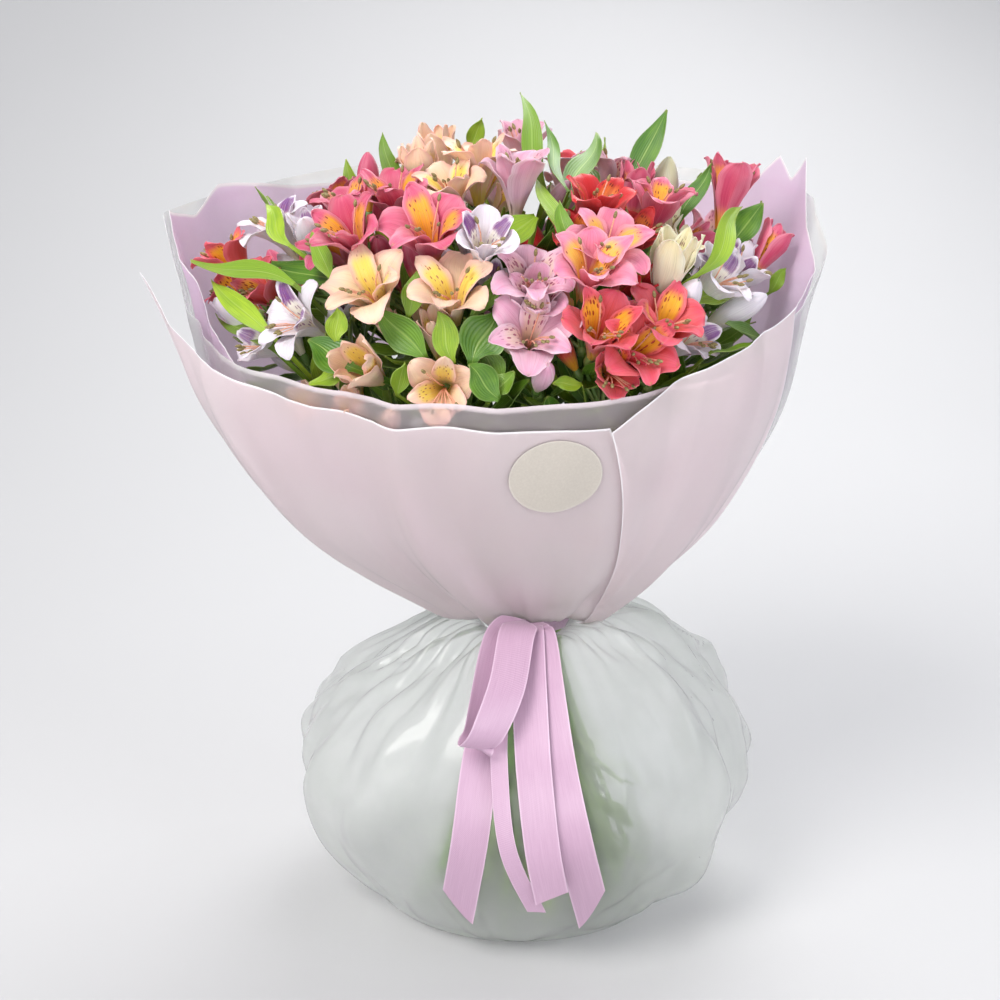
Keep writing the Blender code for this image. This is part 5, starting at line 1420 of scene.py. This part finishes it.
def makeBouquet(materials):
    draw = random.Random(57)
    for name, umbel in umbels.items():
        flowers = newPiece()
        for bloom in umbel["blooms"]:
            addBloom(flowers, bloom, umbel["hub"], umbel["variety"], draw)
        for bloom in fillBlooms(umbel, draw):
            addBloom(flowers, bloom, umbel["hub"], umbel["variety"], draw)
        addHub(flowers, umbel, draw)
        makePiece("flowers_" + name, flowers, materials, "umbel_" + name)
        green = newPiece()
        addStalk(green, umbel, draw)
        lime = umbel["hub"].x < -60 * mm and umbel["hub"].y < 0  # yellower leaves at the left in front
        for found in umbel["leaves"]:
            foot = onStalk(umbel, found["low"])
            tone = draw.uniform(0.45, 1.0) if lime else draw.uniform(0.0, 0.75)
            addLeaf(green, **found, foot=foot, tone=tone, draw=draw)
        for extra in fillLeaves(umbel, draw) + lowLeaves(umbel, draw):
            addLeaf(green, **extra, tone=draw.uniform(0.0, 0.7), draw=draw, fine=False)
        makePiece("stem_and_leaves_" + name, green, materials, "stem_" + name)
    print("flowers and stems made")
    lower, upper = makeFilm()
    for name, piece in (("film_bag_part", lower), ("film_collar_part", upper)):
        filmPart = makePiece(name, piece, materials, "film_bag")
    for seed, (name, plan) in enumerate(sheetPlans.items()):
        piece, grid = makePaper(plan, 40 + seed)
        sheet = makePiece("sheet_" + name, piece, materials, name)
    print("film and sheets made")
    strandDraw = random.Random(3)
    for name, (share, slant, line) in ribbonStrands.items():
        strand = newPiece()
        length = addStrand(strand, share, slant, line, strandDraw)
        obj = makePiece("ribbon_" + name, strand, materials, "ribbon")
    knot = newPiece()
    addKnot(knot, strandDraw)
    makePiece("ribbon_knot", knot, materials, "ribbon")
    makePiece("label", makeLabel(), materials, "sticker")
    makePiece("twine", makeTwine(), materials, "tie_string")
    print("ribbon, label and twine made")


# The stage: a pale floor that curves up behind, soft lights and the photograph's view
studio = {"floor": (0.56, 0.56, 0.57), "sky": (0.92, 0.94, 1.0), "world": 0.42}
# Each lamp: its place, the height that it points at, its size in m, its power in W and its colour
lamps = {"key": ((-0.9, -1.1, 1.7), 0.28, 1.1, 34, (1.0, 0.98, 0.95)),
         "fill": ((1.4, -0.9, 0.8), 0.28, 1.4, 11, (0.94, 0.97, 1.0)),
         "back": ((0.3, 0.9, 1.5), 0.28, 1.2, 22, (1.0, 1.0, 1.0)),
         "low_front": ((-0.2, -1.7, 0.12), 0.24, 1.2, 13, (1.0, 0.99, 0.98))}


def makeStage():
    bend = np.radians(np.linspace(0, 90, 40))
    curve = np.stack([0.35 + 1.5 * np.sin(bend), 1.5 * (1 - np.cos(bend))], axis=1)
    line = np.concatenate([[(-1.8, 0.0), (-0.6, 0.0), (0.0, 0.0)], curve, [(1.85, 2.6)]])
    across = np.linspace(-3.2, 3.2, 8)
    grid = np.array([[(x, y, max(z, 0) - 0.6 * mm) for x in across] for y, z in line])
    faces = gridQuads(np.arange(grid.size // 3).reshape(grid.shape[:2])).reshape(-1, 4)
    mesh = bpy.data.meshes.new("floor_and_backdrop")
    mesh.from_pydata(grid.reshape(-1, 3).tolist(), [], faces.tolist())
    mesh.polygons.foreach_set("use_smooth", [True] * len(mesh.polygons))
    floor = bpy.data.objects.new("floor_and_backdrop", mesh)
    bpy.context.scene.collection.objects.link(floor)
    material, tree, shader = newMaterial("studio_floor")
    place = node(tree, "TexCoord", {}, "Object")
    darker = tuple(c * 0.97 for c in studio["floor"])
    tint = blend(tree, noiseAt(tree, place, 3.0, 2.0), studio["floor"], darker)
    setShader(tree, shader, Base_Color=tint, Roughness=0.85)
    mesh.materials.append(material)


def makeLight(name, place, height, size, power, colour):
    light = bpy.data.lights.new(name, "AREA")
    light.shape, light.size, light.energy, light.color = "DISK", size, power, colour
    obj = bpy.data.objects.new(name, light)
    bpy.context.scene.collection.objects.link(obj)
    obj.location = place
    obj.rotation_euler = (Vector((0, 0, height)) - Vector(place)).to_track_quat("-Z", "Y").to_euler()


def makeLights():
    for name, lamp in lamps.items():
        makeLight(name, *lamp)
    world = bpy.data.worlds.new("soft_studio")
    bpy.context.scene.world = world
    world.use_nodes = True
    sky = world.node_tree.nodes["Background"]
    sky.inputs["Color"].default_value = (*studio["sky"], 1)
    sky.inputs["Strength"].default_value = studio["world"]


def makeCamera():
    camera = bpy.data.cameras.new("camera")
    camera.lens = 36 * shot["focalPx"] / (2 * shot["halfPx"])
    camera.sensor_width = 36
    obj = bpy.data.objects.new("camera", camera)
    bpy.context.scene.collection.objects.link(obj)
    obj.location = shot["eye"]
    obj.rotation_euler = (math.radians(90) - shot["pitch"], 0, 0)
    bpy.context.scene.camera = obj


makeCamera()
bpy.context.scene.view_settings.view_transform = "Standard"
makeBouquet(makeMaterials())
makeStage()
makeLights()
print("stage, lamps and camera made")
shown = [obj.data for obj in bpy.data.objects if obj.type == "MESH" and "spot" in obj.data.attributes]
print("triangles in all:", sum(len(face.vertices) - 2 for mesh in shown for face in mesh.polygons))
